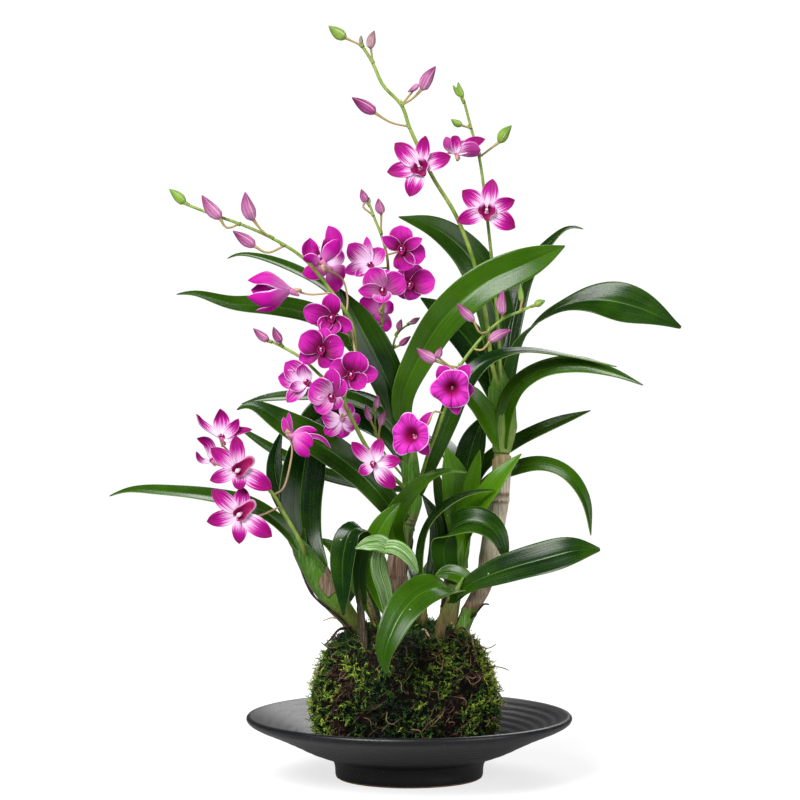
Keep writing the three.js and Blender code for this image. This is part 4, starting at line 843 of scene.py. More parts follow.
def blade_map(name):
    """Where a point lies on a leaf or tepal, the streaks that run along it, and its margin and midrib."""
    inputs = {"Streak Count": 30.0, "Streak Length": 2.0, "Margin Width": 0.05, "Rib Width": 0.04}
    outputs = {"Along": "Float", "Streaks": "Float", "Margin": "Float", "Rib": "Float"}
    group, given, made = new_group(name, inputs, outputs)
    laid = split(group, uv_here(group))
    shift = maths(group, "SUBTRACT", laid["X"], 0.5)
    across = times(group, maths(group, "ABSOLUTE", shift), 2.0)
    around = times(group, laid["X"], given["Streak Count"])
    onward = times(group, laid["Y"], given["Streak Length"])
    lines = tool(group, "CombineXYZ", {"X": around, "Y": onward}).outputs[0]
    spot = stretched(group, place_here(group), (9, 9, 9))
    moved = tool(group, "VectorMath", operation="ADD")
    feed(group, moved.inputs[0], lines)
    feed(group, moved.inputs[1], spot)
    feed(group, made["Streaks"], grain(group, moved.outputs[0], 1.0, 2.0, 0.55))
    feed(group, made["Along"], laid["Y"])
    inner = maths(group, "SUBTRACT", 1.0, given["Margin Width"])
    feed(group, made["Margin"], span(group, across, inner, 1.0))
    feed(group, made["Rib"], span(group, across, 0.0, given["Rib Width"], 1.0, 0.0))
    return group


def mottle(name):
    """Two colours mixed in soft patches."""
    inputs = {"Scale": 60.0, "First": (0.0, 0.0, 0.0, 1.0), "Second": (1.0, 1.0, 1.0, 1.0), "Softness": 0.12}
    group, given, made = new_group(name, inputs, {"Colour": "Color", "Patches": "Float"})
    value = grain(group, place_here(group), given["Scale"], 3.0, 0.6)
    low = maths(group, "SUBTRACT", 0.5, given["Softness"])
    high = plus(group, 0.5, given["Softness"])
    patches = span(group, value, low, high)
    feed(group, made["Colour"], blend(group, patches, given["First"], given["Second"]))
    feed(group, made["Patches"], patches)
    return group


def specks(name):
    """Small scattered dots."""
    group, given, made = new_group(name, {"Scale": 300.0, "Size": 0.2, "Share": 0.2}, {"Dots": "Float"})
    cells = tool(group, "TexVoronoi", {"Vector": place_here(group), "Scale": given["Scale"]})
    inner = times(group, given["Size"], 0.6)
    near = span(group, cells.outputs["Distance"], inner, given["Size"], 1.0, 0.0)
    parts = tool(group, "SeparateColor", {"Color": cells.outputs["Color"]}).outputs
    chosen = maths(group, "LESS_THAN", parts[0], given["Share"])
    feed(group, made["Dots"], times(group, near, chosen))
    return group


GROUPS = {"Blade Map": blade_map, "Mottle": mottle, "Specks": specks}


def bladed(tree, count, length, margin=0.05, rib=0.04):
    inputs = {"Streak Count": count, "Streak Length": length, "Margin Width": margin, "Rib Width": rib}
    return grouped(tree, "Blade Map", inputs)


def mottled(tree, scale, first, second, softness=0.12):
    inputs = {"Scale": scale, "First": first, "Second": second, "Softness": softness}
    return grouped(tree, "Mottle", inputs)


def painted(name, roughness, sheen=0.0, specular=0.5):
    """A new material: the material, its tree and its surface shader."""
    material = bpy.data.materials.new(name)
    material.use_nodes = True
    tree = material.node_tree
    shader = tree.nodes["Principled BSDF"]
    shader.inputs["Roughness"].default_value = roughness
    shader.inputs["Sheen Weight"].default_value = sheen
    shader.inputs["Specular IOR Level"].default_value = specular
    return material, tree, shader


def surface(tree, shader, tint, height, depth, strength):
    """Gives a shader its colour and its fine relief."""
    feed(tree, shader.inputs["Base Color"], tint)
    bump = tool(tree, "Bump", {"Height": height, "Distance": depth, "Strength": strength})
    feed(tree, shader.inputs["Normal"], bump.outputs["Normal"])


# Materials


def glaze_material(look):
    """Satin black glaze with faint iron specks, thinner in rings and patches, and bare clay at the foot's
    lower edge.
    """
    material, tree, shader = painted("Black Glaze", 0.4, specular=0.42)
    here = place_here(tree)
    height = split(tree, here)["Z"]
    bands = grain(tree, stretched(tree, here, (6, 6, 420)), 1.0, 3.0, 0.6)
    cloud = mottled(tree, 34.0, look.glaze, look.glaze_thin, 0.2)
    body = blend(tree, span(tree, bands, 0.35, 0.75, 0.0, 0.5), cloud["Colour"], look.glaze_thin)
    dots = grouped(tree, "Specks", {"Scale": 900.0, "Size": 0.28, "Share": 0.1})["Dots"]
    body = blend(tree, times(tree, dots, 0.35), body, look.clay)
    bare = span(tree, height, BARE_CLAY_HEIGHT * 0.7, BARE_CLAY_HEIGHT, 1.0, 0.0)
    clay = mottled(tree, 220.0, look.clay, colour("8a6a4a"))["Colour"]
    fine = grain(tree, here, 900.0, 2.0)
    gloss = plus(tree, span(tree, fine, 0.3, 0.7, 0.33, 0.45), times(tree, bare, 0.45))
    feed(tree, shader.inputs["Roughness"], gloss)
    surface(tree, shader, blend(tree, bare, body, clay), plus(tree, fine, bands), 0.0001, 0.5)
    return material


def moss_material(look):
    """Moss: each sprig has its own tone, from dark to young and bright, and some are dry. The dark end is
    partly old moss and partly painted shade; the bright end is partly young moss and partly painted light on
    the ridge tops.
    """
    material, tree, shader = painted("Moss", 0.8, sheen=0.1, specular=0.2)
    tone = value_of(tree, "tone")
    rust = value_of(tree, "rust")
    fine = grain(tree, place_here(tree), 700.0, 2.0)
    tone = plus(tree, tone, span(tree, fine, 0.3, 0.7, -0.1, 0.1))
    living = blend(tree, span(tree, tone, 0.05, 0.5), look.shade, look.green)
    living = blend(tree, span(tree, tone, 0.5, 1.0), living, look.bright)
    dry = blend(tree, span(tree, tone, 0.1, 0.8), colour("1c1210"), look.brown)
    surface(tree, shader, blend(tree, rust, living, dry), fine, 0.0002, 0.5)
    return material


def peat_material(look):
    """The matted body of the ball, dark between the moss; its near-black colour is partly painted shade in
    the gaps.
    """
    material, tree, shader = painted("Peat", 0.95, specular=0.1)
    wide = mottled(tree, 45.0, look.shade, colour("140e0a"), 0.08)
    fibres = grain(tree, place_here(tree), 520.0, 4.0, 0.7)
    mixed = blend(tree, span(tree, fibres, 0.5, 0.75, 0.0, 0.3), wide["Colour"], look.brown)
    surface(tree, shader, mixed, fibres, 0.0012, 1.0)
    return material


def root_material(name, dark, light, roughness=0.7):
    """Thin roots, from dark and wet to dry and pale."""
    material, tree, shader = painted(name, roughness)
    rings = grain(tree, place_here(tree), 260.0, 3.0, 0.6)
    share = plus(tree, value_of(tree, "tone"), span(tree, rings, 0.3, 0.7, -0.25, 0.25))
    surface(tree, shader, blend(tree, span(tree, share, 0.0, 1.0), dark, light), rings, 0.0004, 0.8)
    return material


def leaf_material(look):
    """Upper side of a leaf: satin green with veins, a paler midrib, a thin margin and a dry point."""
    material, tree, shader = painted("Leaf", 0.3, specular=0.27)
    blade = bladed(tree, 46.0, 1.6, 0.045)
    fresh = maths(tree, "POWER", value_of(tree, "freshness"), 1.35)
    patches = grouped(tree, "Mottle", {"Scale": 26.0, "Softness": 0.25})["Patches"]
    tint = plus(tree, fresh, span(tree, patches, 0.0, 1.0, -0.07, 0.09))
    tint = plus(tree, tint, span(tree, blade["Streaks"], 0.3, 0.7, -0.04, 0.045))
    tint = plus(tree, tint, span(tree, blade["Along"], 0.0, 0.25, 0.16, 0.0))
    green = blend(tree, tint, look.deep, look.fresh)
    ribbed = times(tree, blade["Rib"], span(tree, blade["Along"], 0.7, 1.0, 0.7, 0.0))
    green = blend(tree, ribbed, green, look.rib)
    green = blend(tree, times(tree, blade["Margin"], 0.75), green, look.margin)
    dots = grouped(tree, "Specks", {"Scale": 160.0, "Size": 0.1, "Share": 0.05})["Dots"]
    green = blend(tree, times(tree, dots, 0.6), green, colour("dfe6d8"))
    streaked = span(tree, fresh, 0.85, 0.95)
    green = blend(tree, times(tree, streaked, 0.6), green, colour("2c6414"))
    cream = times(tree, streaked, span(tree, blade["Streaks"], 0.48, 0.6, 0.0, 0.6))
    green = blend(tree, cream, green, colour("dbe6c2"))
    dried = span(tree, blade["Along"], 0.98, 1.0)
    fine = grain(tree, place_here(tree), 900.0, 2.0)
    gloss = span(tree, plus(tree, fine, blade["Streaks"]), 0.7, 1.3, 0.2, 0.3)
    feed(tree, shader.inputs["Roughness"], gloss)
    height = plus(tree, blade["Streaks"], times(tree, fine, 0.05))
    surface(tree, shader, blend(tree, dried, green, look.tip), height, 0.0003, 0.22)
    return material


def underleaf_material(look):
    """Lower side of a leaf: paler and duller, with a raised midrib."""
    material, tree, shader = painted("Leaf Underside", 0.5, specular=0.15)
    blade = bladed(tree, 60.0, 1.2)
    fresh = value_of(tree, "freshness")
    old = blend(tree, 0.35, look.deep, look.under)
    green = blend(tree, fresh, old, blend(tree, 0.5, look.under, look.fresh))
    green = blend(tree, span(tree, blade["Streaks"], 0.35, 0.7, 0.0, 0.35), green, look.under)
    green = blend(tree, times(tree, blade["Rib"], 0.7), green, look.rib)
    green = blend(tree, times(tree, blade["Margin"], 0.6), green, look.margin)
    dried = span(tree, blade["Along"], 0.98, 1.0)
    height = plus(tree, blade["Streaks"], blade["Rib"])
    surface(tree, shader, blend(tree, dried, green, look.tip), height, 0.0004, 0.4)
    return material


def skin_material(name, bands, roughness, fibres=1.0):
    """A stem's skin: colours or their codes by height in metres, with long streaks and a little dirt."""
    material, tree, shader = painted(name, roughness, specular=0.2)
    here = place_here(tree)
    height = split(tree, here)["Z"]
    bands = [(place, colour(tint) if isinstance(tint, str) else tint) for place, tint in bands]
    (low, lowest), (high, highest) = bands[0], bands[-1]
    share = tool(tree, "MapRange", {"Value": height, "From Min": low, "From Max": high}).outputs["Result"]
    streaks = grain(tree, stretched(tree, here, (900, 900, 60)), 1.0, 3.0, 0.6)
    share = plus(tree, share, span(tree, streaks, 0.3, 0.7, -0.007, 0.007))
    ramp = tool(tree, "ValToRGB", {"Fac": share})
    stops = ramp.color_ramp.elements
    stops[0].color, stops[1].color = lowest, highest
    for place, tint in bands[1:-1]:
        stops.new((place - low) / (high - low)).color = tint
    light = span(tree, streaks, 0.45, 0.75, 0.0, 0.12 * fibres)
    shaded = blend(tree, light, ramp.outputs["Color"], colour("f1ead6"))
    dirt = span(tree, streaks, 0.5, 0.3, 0.0, 0.35 * fibres)
    shaded = blend(tree, dirt, shaded, colour("3a3420"))
    feed(tree, shader.inputs["Roughness"], span(tree, streaks, 0.3, 0.7, roughness - 0.08, roughness + 0.12))
    surface(tree, shader, shaded, streaks, 0.0004, 0.4)
    return material


def stem_material(name, base, tinge):
    """Skin of a flower stem or stalk, with a tinge in patches."""
    material, tree, shader = painted(name, 0.42, specular=0.35)
    patches = mottled(tree, 120.0, base, tinge, 0.3)
    fine = grain(tree, stretched(tree, place_here(tree), (700, 700, 140)), 1.0, 2.0)
    shaded = blend(tree, span(tree, fine, 0.45, 0.75, 0.0, 0.1), patches["Colour"], colour("d8dea0"))
    surface(tree, shader, shaded, fine, 0.0002, 0.25)
    return material


def bud_material(look):
    """Buds ripen from green to dusky pink and purple, with the seams of three sepals."""
    material, tree, shader = painted("Bud", 0.45, specular=0.2)
    laid = uv_here(tree)
    uv = split(tree, laid)
    ripe = value_of(tree, "ripeness")
    streaks = grain(tree, stretched(tree, laid, (26, 1.5, 1)), 1.0)
    dusky = blend(tree, span(tree, ripe, 0.5, 1.0), colour("dd9cc6"), colour("bc5a9c"))
    pale = blend(tree, span(tree, ripe, 0.1, 0.5), look.unripe, dusky)
    purple = blend(tree, span(tree, ripe, 0.5, 1.0), colour("8a3070"), colour("680a4e"))
    dark = blend(tree, span(tree, ripe, 0.1, 0.5), colour("5f8a24"), purple)
    body = blend(tree, span(tree, uv["Y"], 0.2, 0.9, 0.1, 0.95), pale, dark)
    body = blend(tree, span(tree, streaks, 0.4, 0.65, 0.0, 0.7), body, dark)
    thirds = maths(tree, "FRACT", times(tree, uv["X"], 3.0))
    seam = span(tree, maths(tree, "ABSOLUTE", maths(tree, "SUBTRACT", thirds, 0.5)), 0.44, 0.5)
    body = blend(tree, times(tree, seam, 0.5), body, colour("f0d9d6"))
    surface(tree, shader, body, maths(tree, "SUBTRACT", streaks, seam), 0.0003, 0.3)
    return material


def ragged(tree, blade, spread):
    """The share of the way along a tepal, made uneven by its streaks."""
    return plus(tree, blade["Along"], span(tree, blade["Streaks"], 0.25, 0.75, -spread, spread))


def star_material(look, back=False):
    """White-based tepals that run through fine streaks into magenta tips."""
    material, tree, shader = painted("Star Tepal Back" if back else "Star Tepal", 0.6, specular=0.12)
    blade = bladed(tree, 26.0, 1.2, 0.08, 0.1)
    pale = value_of(tree, "paleness")
    reach = ragged(tree, blade, 0.2)
    reach = maths(tree, "SUBTRACT", reach, times(tree, pale, 0.22))
    share = span(tree, reach, 0.0, 0.42, 0.12, 0.92 if back else 1.0)
    body = blend(tree, share, colour("fdeaff"), look.magenta)
    tips = span(tree, reach, 0.28, 0.7, 0.0, 0.5 if back else 0.95)
    body = blend(tree, tips, body, look.deep)
    body = blend(tree, times(tree, blade["Margin"], 0.45), body, look.pale)
    feed(tree, shader.inputs["Roughness"], span(tree, blade["Streaks"], 0.3, 0.7, 0.42, 0.58))
    surface(tree, shader, body, blade["Streaks"], 0.0003, 0.5)
    return material


def round_material(look, back=False):
    """Magenta tepals with darker veins, a crimson base, and a thin pale margin."""
    material, tree, shader = painted("Round Tepal Back" if back else "Round Tepal", 0.6, specular=0.12)
    blade = bladed(tree, 30.0, 1.1, 0.1, 0.08)
    patches = grouped(tree, "Mottle", {"Scale": 45.0, "Softness": 0.25})["Patches"]
    veins = span(tree, blade["Streaks"], 0.4, 0.64)
    pale = value_of(tree, "paleness")
    if back:
        body = blend(tree, span(tree, blade["Along"], 0.05, 0.6, 0.62, 1.0), look.pale, look.magenta)
        body = blend(tree, times(tree, veins, 0.5), body, look.magenta)
    else:
        body = blend(tree, times(tree, patches, 0.35), look.magenta, look.bright)
        body = blend(tree, times(tree, veins, 0.8), body, look.deep)
        body = blend(tree, span(tree, blade["Along"], 0.55, 1.0, 0.0, 0.45), body, look.bright)
        inner = span(tree, blade["Along"], 0.14, 0.68, 1.0, 0.0)
        stained = times(tree, inner, span(tree, pale, 0.1, 0.45, 1.0, 0.2))
        body = blend(tree, stained, body, look.throat)
    reach = ragged(tree, blade, 0.2)
    bare = times(tree, span(tree, reach, 0.15, 0.75, 1.0, 0.0), span(tree, pale, 0.2, 0.72))
    body = blend(tree, bare, body, colour("fbdcfc"))
    body = blend(tree, times(tree, blade["Margin"], 0.95), body, look.pale)
    feed(tree, shader.inputs["Roughness"], span(tree, blade["Streaks"], 0.3, 0.7, 0.44, 0.6))
    surface(tree, shader, body, blade["Streaks"], 0.0004, 0.6)
    return material


def lip_material(look, name, rim):
    """The crimson lip, with a rim that may be white."""
    material, tree, shader = painted(name, 0.5, specular=0.15)
    blade = bladed(tree, 18.0, 1.5, 0.15 if rim < 0.9 else 0.5)
    body = blend(tree, span(tree, blade["Along"], 0.1, 0.75), look.throat, look.crimson)
    threads = span(tree, blade["Streaks"], 0.45, 0.7, 0.0, 0.35 if rim > 0.25 else 0.9)
    body = blend(tree, threads, body, look.magenta)
    swirl = times(tree, span(tree, blade["Margin"], 0.2, 0.8), rim * 0.8)
    body = blend(tree, times(tree, swirl, span(tree, blade["Along"], 0.35, 0.6)), body, look.pale)
    body = blend(tree, span(tree, blade["Along"], 0.84, 1.0, 0.0, rim), body, look.pale)
    surface(tree, shader, body, blade["Streaks"], 0.0003, 0.6)
    return material


def trumpet_material(look):
    """Joined tepals: dark crimson inside, then magenta with veins, and a pale rim."""
    material, tree, shader = painted("Trumpet", 0.6, specular=0.12)
    blade = bladed(tree, 64.0, 1.1)
    veins = span(tree, blade["Streaks"], 0.4, 0.64)
    body = blend(tree, times(tree, veins, 0.7), look.bright, look.deep)
    reach = ragged(tree, blade, 0.12)
    body = blend(tree, span(tree, reach, 0.12, 0.62, 1.0, 0.0), body, look.crimson)
    body = blend(tree, span(tree, blade["Along"], 0.94, 0.99), body, look.pale)
    surface(tree, shader, body, blade["Streaks"], 0.0004, 0.6)
    return material


def column_material(look):
    """The pale cap of the column on its crimson foot."""
    material, tree, shader = painted("Column", 0.45, specular=0.3)
    onward = split(tree, uv_here(tree))["Y"]
    tint = blend(tree, span(tree, onward, 0.45, 0.75), look.crimson, look.column)
    patches = mottled(tree, 900.0, look.column, colour("e8a8c8"), 0.2)
    surface(tree, shader, blend(tree, 0.3, tint, patches["Colour"]), patches["Patches"], 0.0001, 0.4)
    return material


# Dish and moss


def dish(look):
    """The dish, turned from its section, with throwing rings on its underside and its inner slope."""
    profile = even_curve([(r * MM, 0, z * MM) for r, z in DISH_PROFILE], DISH_ROWS * 4)
    ahead = unit(np.gradient(profile, axis=0))
    shares = np.linspace(0, 1, len(profile))
    far = np.linspace(0, np.linalg.norm(np.diff(profile, axis=0), axis=1).sum(), len(profile))
    radii = profile[:, 0]
    slope = np.clip((radii - RINGS_FROM) / 0.006, 0, 1) * np.clip((RINGS_TO - radii) / 0.004, 0, 1)
    rings = look.ring_depth * slope * np.sin(2 * math.pi * far / look.ring_pitch)
    profile[:, 0] += ahead[:, 2] * rings
    profile[:, 2] -= ahead[:, 0] * rings

    def place(u, v):
        turn = 2 * math.pi * u
        section = between(v, shares, profile)
        radius = np.maximum(section[:, 0], 0) * (v > 0.2 / DISH_ROWS) * (v < 1 - 0.2 / DISH_ROWS)
        return np.stack([radius * np.cos(turn), radius * np.sin(turn), np.maximum(section[:, 2], 0)], axis=1)

    piece = woven("dish_glazed", DISH_COLUMNS, DISH_ROWS, place)
    weld(piece)
    dress(piece, glaze_material(look))
    settle(piece, "stoneware", "dish")


def ridges(angle, height):
    """How high the moss stands, from 0 to 1: raised cords on two slants, and hollows between them."""
    warp = 0.9 * np.sin(5 * angle + 0.11 * height) + 0.6 * np.sin(0.21 * height - 8 * angle)
    rising = 1 - np.abs(np.sin(19 * angle + 0.32 * height + warp))
    falling = 1 - np.abs(np.sin(17 * angle - 0.36 * height + 1.4 * warp))
    return np.maximum(rising, falling) ** 1.4


BALL_SECTION = even_curve([(0, 0, 14.4), *((r, 0, z) for z, r in BALL_OUTLINE), (0, 0, 99)], 400)
SECTION_LENGTH = np.linalg.norm(np.diff(BALL_SECTION, axis=0), axis=1).sum()


def on_ball(angle, share, lift=0.0):
    """Places in metres on the moss ball, at an angle round it and a share of the way up its section."""
    angle = np.asarray(angle, float)
    share = np.asarray(share, float)
    section = between(share.ravel(), np.linspace(0, 1, len(BALL_SECTION)), BALL_SECTION)
    radius, height = section[:, 0], section[:, 2]
    fade = np.clip(radius / 12, 0, 1)
    radius = radius + (RIDGE_HEIGHT * (ridges(angle.ravel(), height) - 0.65) + lift) * fade
    height = height + lift * (1 - fade)
    flat = [BALL_OFFSET + radius * np.cos(angle.ravel()), radius * np.sin(angle.ravel()), height]
    return np.stack(flat, axis=1) * MM


def ball_normal(angle, share):
    step = 0.004
    round_it = on_ball(angle + step, share) - on_ball(angle - step, share)
    up_it = on_ball(angle, share + step) - on_ball(angle, share - step)
    return unit(np.cross(round_it, up_it))


def moss_body(look):
    def place(u, v):
        angle = 2 * math.pi * u
        laid = on_ball(angle, v)
        rough = np.array([noise.fractal(Vector(p) * 170, 1.0, 2.1, 4) for p in laid])
        centre = np.array([BALL_OFFSET * MM, 0, 0.055])
        return laid + unit(laid - centre) * (rough * 0.0011 - 0.0012)[:, None]

    piece = woven("moss_ball_body", 150, 90, place)
    weld(piece)
    dress(piece, peat_material(look))
    settle(piece, "moss", "moss_ball")


def sprig(rng, length):
    """One sprig of moss: pointed leaflets round a short bent stem. Its corners and faces."""
    leaflets = []
    bend = rng.uniform(0.1, 0.5)
    for i in range(SPRIG_LEAFLETS):
        share = i / (SPRIG_LEAFLETS - 1)
        deselect()
        size = length * (0.42 - 0.12 * share)
        middle = (0, 0, size / 2)
        bpy.ops.mesh.primitive_cone_add(
            vertices=3, radius1=size * 0.2, radius2=0, depth=size, end_fill_type="NOTHING", location=middle)
        leaflet = bpy.context.active_object
        lean = math.radians(64 - 50 * share + rng.uniform(-12, 12))
        turn = i * math.radians(137.5) + rng.uniform(-0.3, 0.3)
        flat = Matrix.Diagonal((1.0, 0.5, 1.0, 1.0))
        aimed = Matrix.Rotation(turn, 4, "Z") @ Matrix.Rotation(lean, 4, "Y")
        stem = Vector((bend * length * share**2, 0, 0.7 * length * share))
        leaflet.data.transform(Matrix.Translation(stem) @ aimed @ flat @ leaflet.matrix_basis)
        leaflet.matrix_basis = Matrix.Identity(4)
        leaflets.append(leaflet)
    piece = joined("sprig", leaflets)
    piece.data.calc_loop_triangles()
    corners = np.array([v.co for v in piece.data.vertices])
    faces = np.array([t.vertices for t in piece.data.loop_triangles])
    bpy.data.objects.remove(piece)
    return corners, faces


def noise_at(points, scale, shift=(0, 0, 0)):
    return np.array([noise.noise(Vector(p) * scale + Vector(shift)) for p in points])


def moss_tone(points, rng):
    """How bright and how dry the moss is at each place: young at both sides, and dry in patches."""
    wide = noise_at(points, 38)
    small = noise_at(points, 110, (7, 3, 1))
    x, y, z = points.T / MM
    tone = 0.42 + 0.5 * wide + 0.3 * small + rng.normal(0, 0.13, len(points))
    tone += 0.38 * np.clip((x - 22) / 30, 0, 1) * np.clip((z - 30) / 40, 0, 1)
    tone += 0.3 * np.clip((-x - 45) / 18, 0, 1)
    tone -= 0.16 * np.clip((30 - np.abs(x + 12)) / 20, 0, 1) * (y < 0)
    dry = noise_at(points, 62, (2, 9, 4))
    for across, up, size in DRY_PATCHES:
        away = np.hypot(x - across, z - up) / size
        dry = dry + 0.55 * np.exp(-(away**2)) * (y < 0)
    return np.clip(tone, 0, 1), np.clip((dry - 0.28) / 0.12, 0, 1)


def soup(name, corners, faces, **layers):
    """A mesh object from arrays of corners and triangles, with a value for each corner in each layer."""
    mesh = bpy.data.meshes.new(name)
    mesh.from_pydata(corners.tolist(), [], faces.tolist())
    piece = bpy.data.objects.new(name, mesh)
    bpy.context.scene.collection.objects.link(piece)
    for layer, values in layers.items():
        mark(piece, layer, values)
    return piece


def moss_sprigs(look):
    """Thousands of sprigs that lie over each other on the ball, each a turned copy of one of a few kinds."""
    draws = random.Random(4)
    rng = np.random.default_rng(4)
    kinds = [sprig(draws, look.sprig_length) for _ in range(SPRIG_KINDS)]
    heights = BALL_SECTION[:, 0] * np.linalg.norm(np.gradient(BALL_SECTION, axis=0), axis=1)
    heights[BALL_SECTION[:, 2] < 15.5] = 0
    spread = np.cumsum(heights) / heights.sum()
    share = np.interp(rng.random(look.tufts), spread, np.linspace(0, 1, len(spread)))
    angle = rng.random(look.tufts) * 2 * math.pi
    base = on_ball(angle, share, -1.7)
    out = ball_normal(angle, share)
    tone, dry = moss_tone(base, rng)
    # Painted light and shade: sprigs on the raised cords are made brighter and those in the hollows between
    # them darker.
    tone += 0.6 * (ridges(angle, base[:, 2] / MM) - 0.5)
    level = unit(np.cross([0.0, 0.0, 1.0], out))
    climb = np.cross(out, level)
    slants = rng.choice((-1, 1), (2, len(out), 1))
    aside = level * slants[0] * 0.75 + climb * slants[1] * 0.7 + rng.normal(0, 0.3, out.shape)
    aim = unit(out * rng.uniform(0.25, 0.85, (len(out), 1)) + aside * 0.9)
    hint = unit(np.cross(aim, rng.normal(size=aim.shape)))
    third = np.cross(aim, hint)
    size = rng.uniform(0.7, 1.3, len(base)) * (1 - 0.3 * dry)
    kind = rng.integers(0, SPRIG_KINDS, len(base))
    corners, faces, tones, dryness = [], [], [], []
    count = 0
    for k, (shape, triangles) in enumerate(kinds):
        for i in np.flatnonzero(kind == k):
            turn = np.stack([hint[i], third[i], aim[i]])
            corners.append(shape @ turn * size[i] + base[i])
            faces.append(triangles + count)
            # Each sprig is darker at its foot and lighter at its tip: partly its younger tip, partly painted
            # shade low in the mat.
            tones.append(tone[i] + 0.5 * (shape[:, 2] / look.sprig_length - 0.55))
            dryness.append(np.full(len(shape), dry[i]))
            count += len(shape)
    arrays = [np.vstack(corners), np.vstack(faces)]
    piece = soup("moss_sprigs", *arrays, tone=np.concatenate(tones), rust=np.concatenate(dryness))
    dress(piece, moss_material(look))
    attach(piece, BODY)


def thin_root(points, radius, rng, tone, sides=5, step=STEM_STEP):
    """A root that thins towards its tip and swells a little here and there."""
    track = Track(points)
    rows = max(8, round(track.length / step))
    phase = rng.uniform(0, 6)

    def reach(share, angle):
        return radius * (1.05 - 0.55 * share**2) * (1 + 0.16 * np.sin(share * track.length / 0.0019 + phase))

    piece = tube("root", points, reach, sides, rows)
    mark(piece, "tone", tone)
    return piece


def moss_strands(look):
    """Short roots that cross the moss on two slants, half sunk in it, and loose ends that stand off it."""
    rng = random.Random(11)
    pieces = []
    for i in range(look.strands):
        slope = math.radians(rng.uniform(35, 65)) * (1 if i % 2 else -1)
        length = rng.uniform(5, 14)
        angle, middle = rng.uniform(0, 2 * math.pi), rng.uniform(0.3, 0.92)
        depth, phase = rng.uniform(0.2, 1.6), rng.uniform(0, 6)
        places = []
        for k in range(6):
            t = k / 5 - 0.5
            wander = 0.02 * math.sin(8 * t + phase)
            share = middle + length * math.sin(slope) * t / SECTION_LENGTH + wander * 0.3
            lift = 2.6 * math.cos(math.pi * t) - depth
            places.append(on_ball(angle + length * math.cos(slope) * t / 55 + wander, share, lift)[0])
        size = rng.uniform(0.0002, 0.00038)
        pieces.append(thin_root(places, size, rng, rng.uniform(0, 1), step=0.003))
    for across, depth, up, reach in LOOSE_ENDS:
        start = seen((across, depth, up))
        out = Vector((start.x - BALL_OFFSET * MM, start.y, 0)).normalized()
        bend = Vector((0, 0, rng.uniform(-0.4, 0.6)))
        places = [start + (out * t + bend * t * t) * reach * MM for t in (-0.6, 0, 0.35, 0.7, 1)]
        pieces.append(thin_root(places, 0.0005, rng, rng.uniform(0.2, 0.9)))
    piece = joined("moss_strands", pieces)
    dress(piece, root_material("Strand", colour("3a2418"), look.strand))
    settle(piece, "root")


def rooted(name, rows, rng, sides, material, *nodes):
    """A piece made of all the roots of one table."""
    pieces = []
    for points, radius, tone in rows:
        pieces.append(thin_root([seen(p) for p in points], radius, rng, tone, sides, 0.0015))
    piece = joined(name, pieces)
    dress(piece, material)
    settle(piece, "root", *nodes)


def free_roots(look):
    rng = random.Random(5)
    wet = root_material("Free Root", colour("24150e"), look.root, 0.6)
    rooted("free_roots", FREE_ROOTS, rng, 7, wet, "aerial_roots")
    dry = root_material("Small Root", colour("2c1a12"), colour("c2a684"), 0.6)
    rooted("small_roots", SMALL_ROOTS, rng, 6, dry)


# Canes and leafy shoots


def stem_tube(name, points, radii, rings, ribs):
    """A cane or stem with swollen scars at the given shares of its length, and ribs that run along it."""
    spots = [seen(p) for p in points]
    radius = along(spots, [r * MM for r in radii])
    length = Track(spots).length
    rows = max(12, round(length / STEM_STEP))

    def reach(share, angle):
        size = radius(share)
        for ring in rings:
            size = size + SCAR_HEIGHT * np.exp(-(((share - ring) * length / SCAR_WIDTH) ** 2))
        return size * (1 + ribs * np.cos(9 * angle) + 0.5 * ribs * np.cos(14 * angle + 1))

    return tube(name, spots, reach, 20, rows)


def sheath(points, radii, start, end, turn, opening, flare=0.0008, cut=0.42):
    """A leaf base or papery bract wrapped round a stem from one share of its length to another."""
    spots = [seen(p) for p in points]
    track = Track(spots)
    radius = along(spots, [r * MM for r in radii])

    def place(u, v):
        wrapped = math.radians(360 - opening) * (u - 0.5)
        slant = 1 - cut * np.abs(2 * u - 1) ** 2.2 + 0.02 * np.sin(17 * u)
        share = start + (end - start) * v * slant
        centre, _, normal, side = track.at(share)
        angle = math.radians(turn) + wrapped
        reach = radius(share) + SHEATH_WALL + flare * v**2 + 0.0002 * np.sin(9 * angle)
        return centre + turned(normal, side, angle) * reach[:, None]

    piece = woven("sheath", 18, 12, place)
    thicken(piece, SHEATH_WALL)
    return piece


def canes(look):
    dry, ring, green, pale = look.dry, look.ring, look.green, "ded3bb"
    bands = {
        "centre_cane": [(0.095, "4e3a2a"), (0.12, "6f5640"), (0.14, "8a6a58"), (0.165, green)],
        "right_cane": [
            (0.095, green), (0.108, green), (0.1105, ring), (0.114, "a08c76"), (0.128, "8c7664"),
            (0.143, dry), (0.155, pale), (0.1775, dry), (0.179, ring), (0.1805, pale), (0.184, ring),
            (0.186, pale), (0.203, dry), (0.206, ring), (0.208, "8f9a4c"),
        ],
        "back_cane": [(0.1, dry), (0.13, "a39a6c"), (0.15, green), (0.175, green)],
    }
    scars = {
        "centre_cane": (0.3, 0.62, 0.86),
        "right_cane": (0.23, 0.5, 0.745, 0.79),
        "back_cane": (0.3, 0.6, 0.85),
    }
    for name, (points, radii) in CANES.items():
        ribs = 0.02 if name == "right_cane" else 0.008
        piece = stem_tube(name + "_skin", points, radii, scars[name], ribs)
        dress(piece, skin_material(name + " Skin", bands[name], 0.55, 2.0))
        settle(piece, "cane", name)


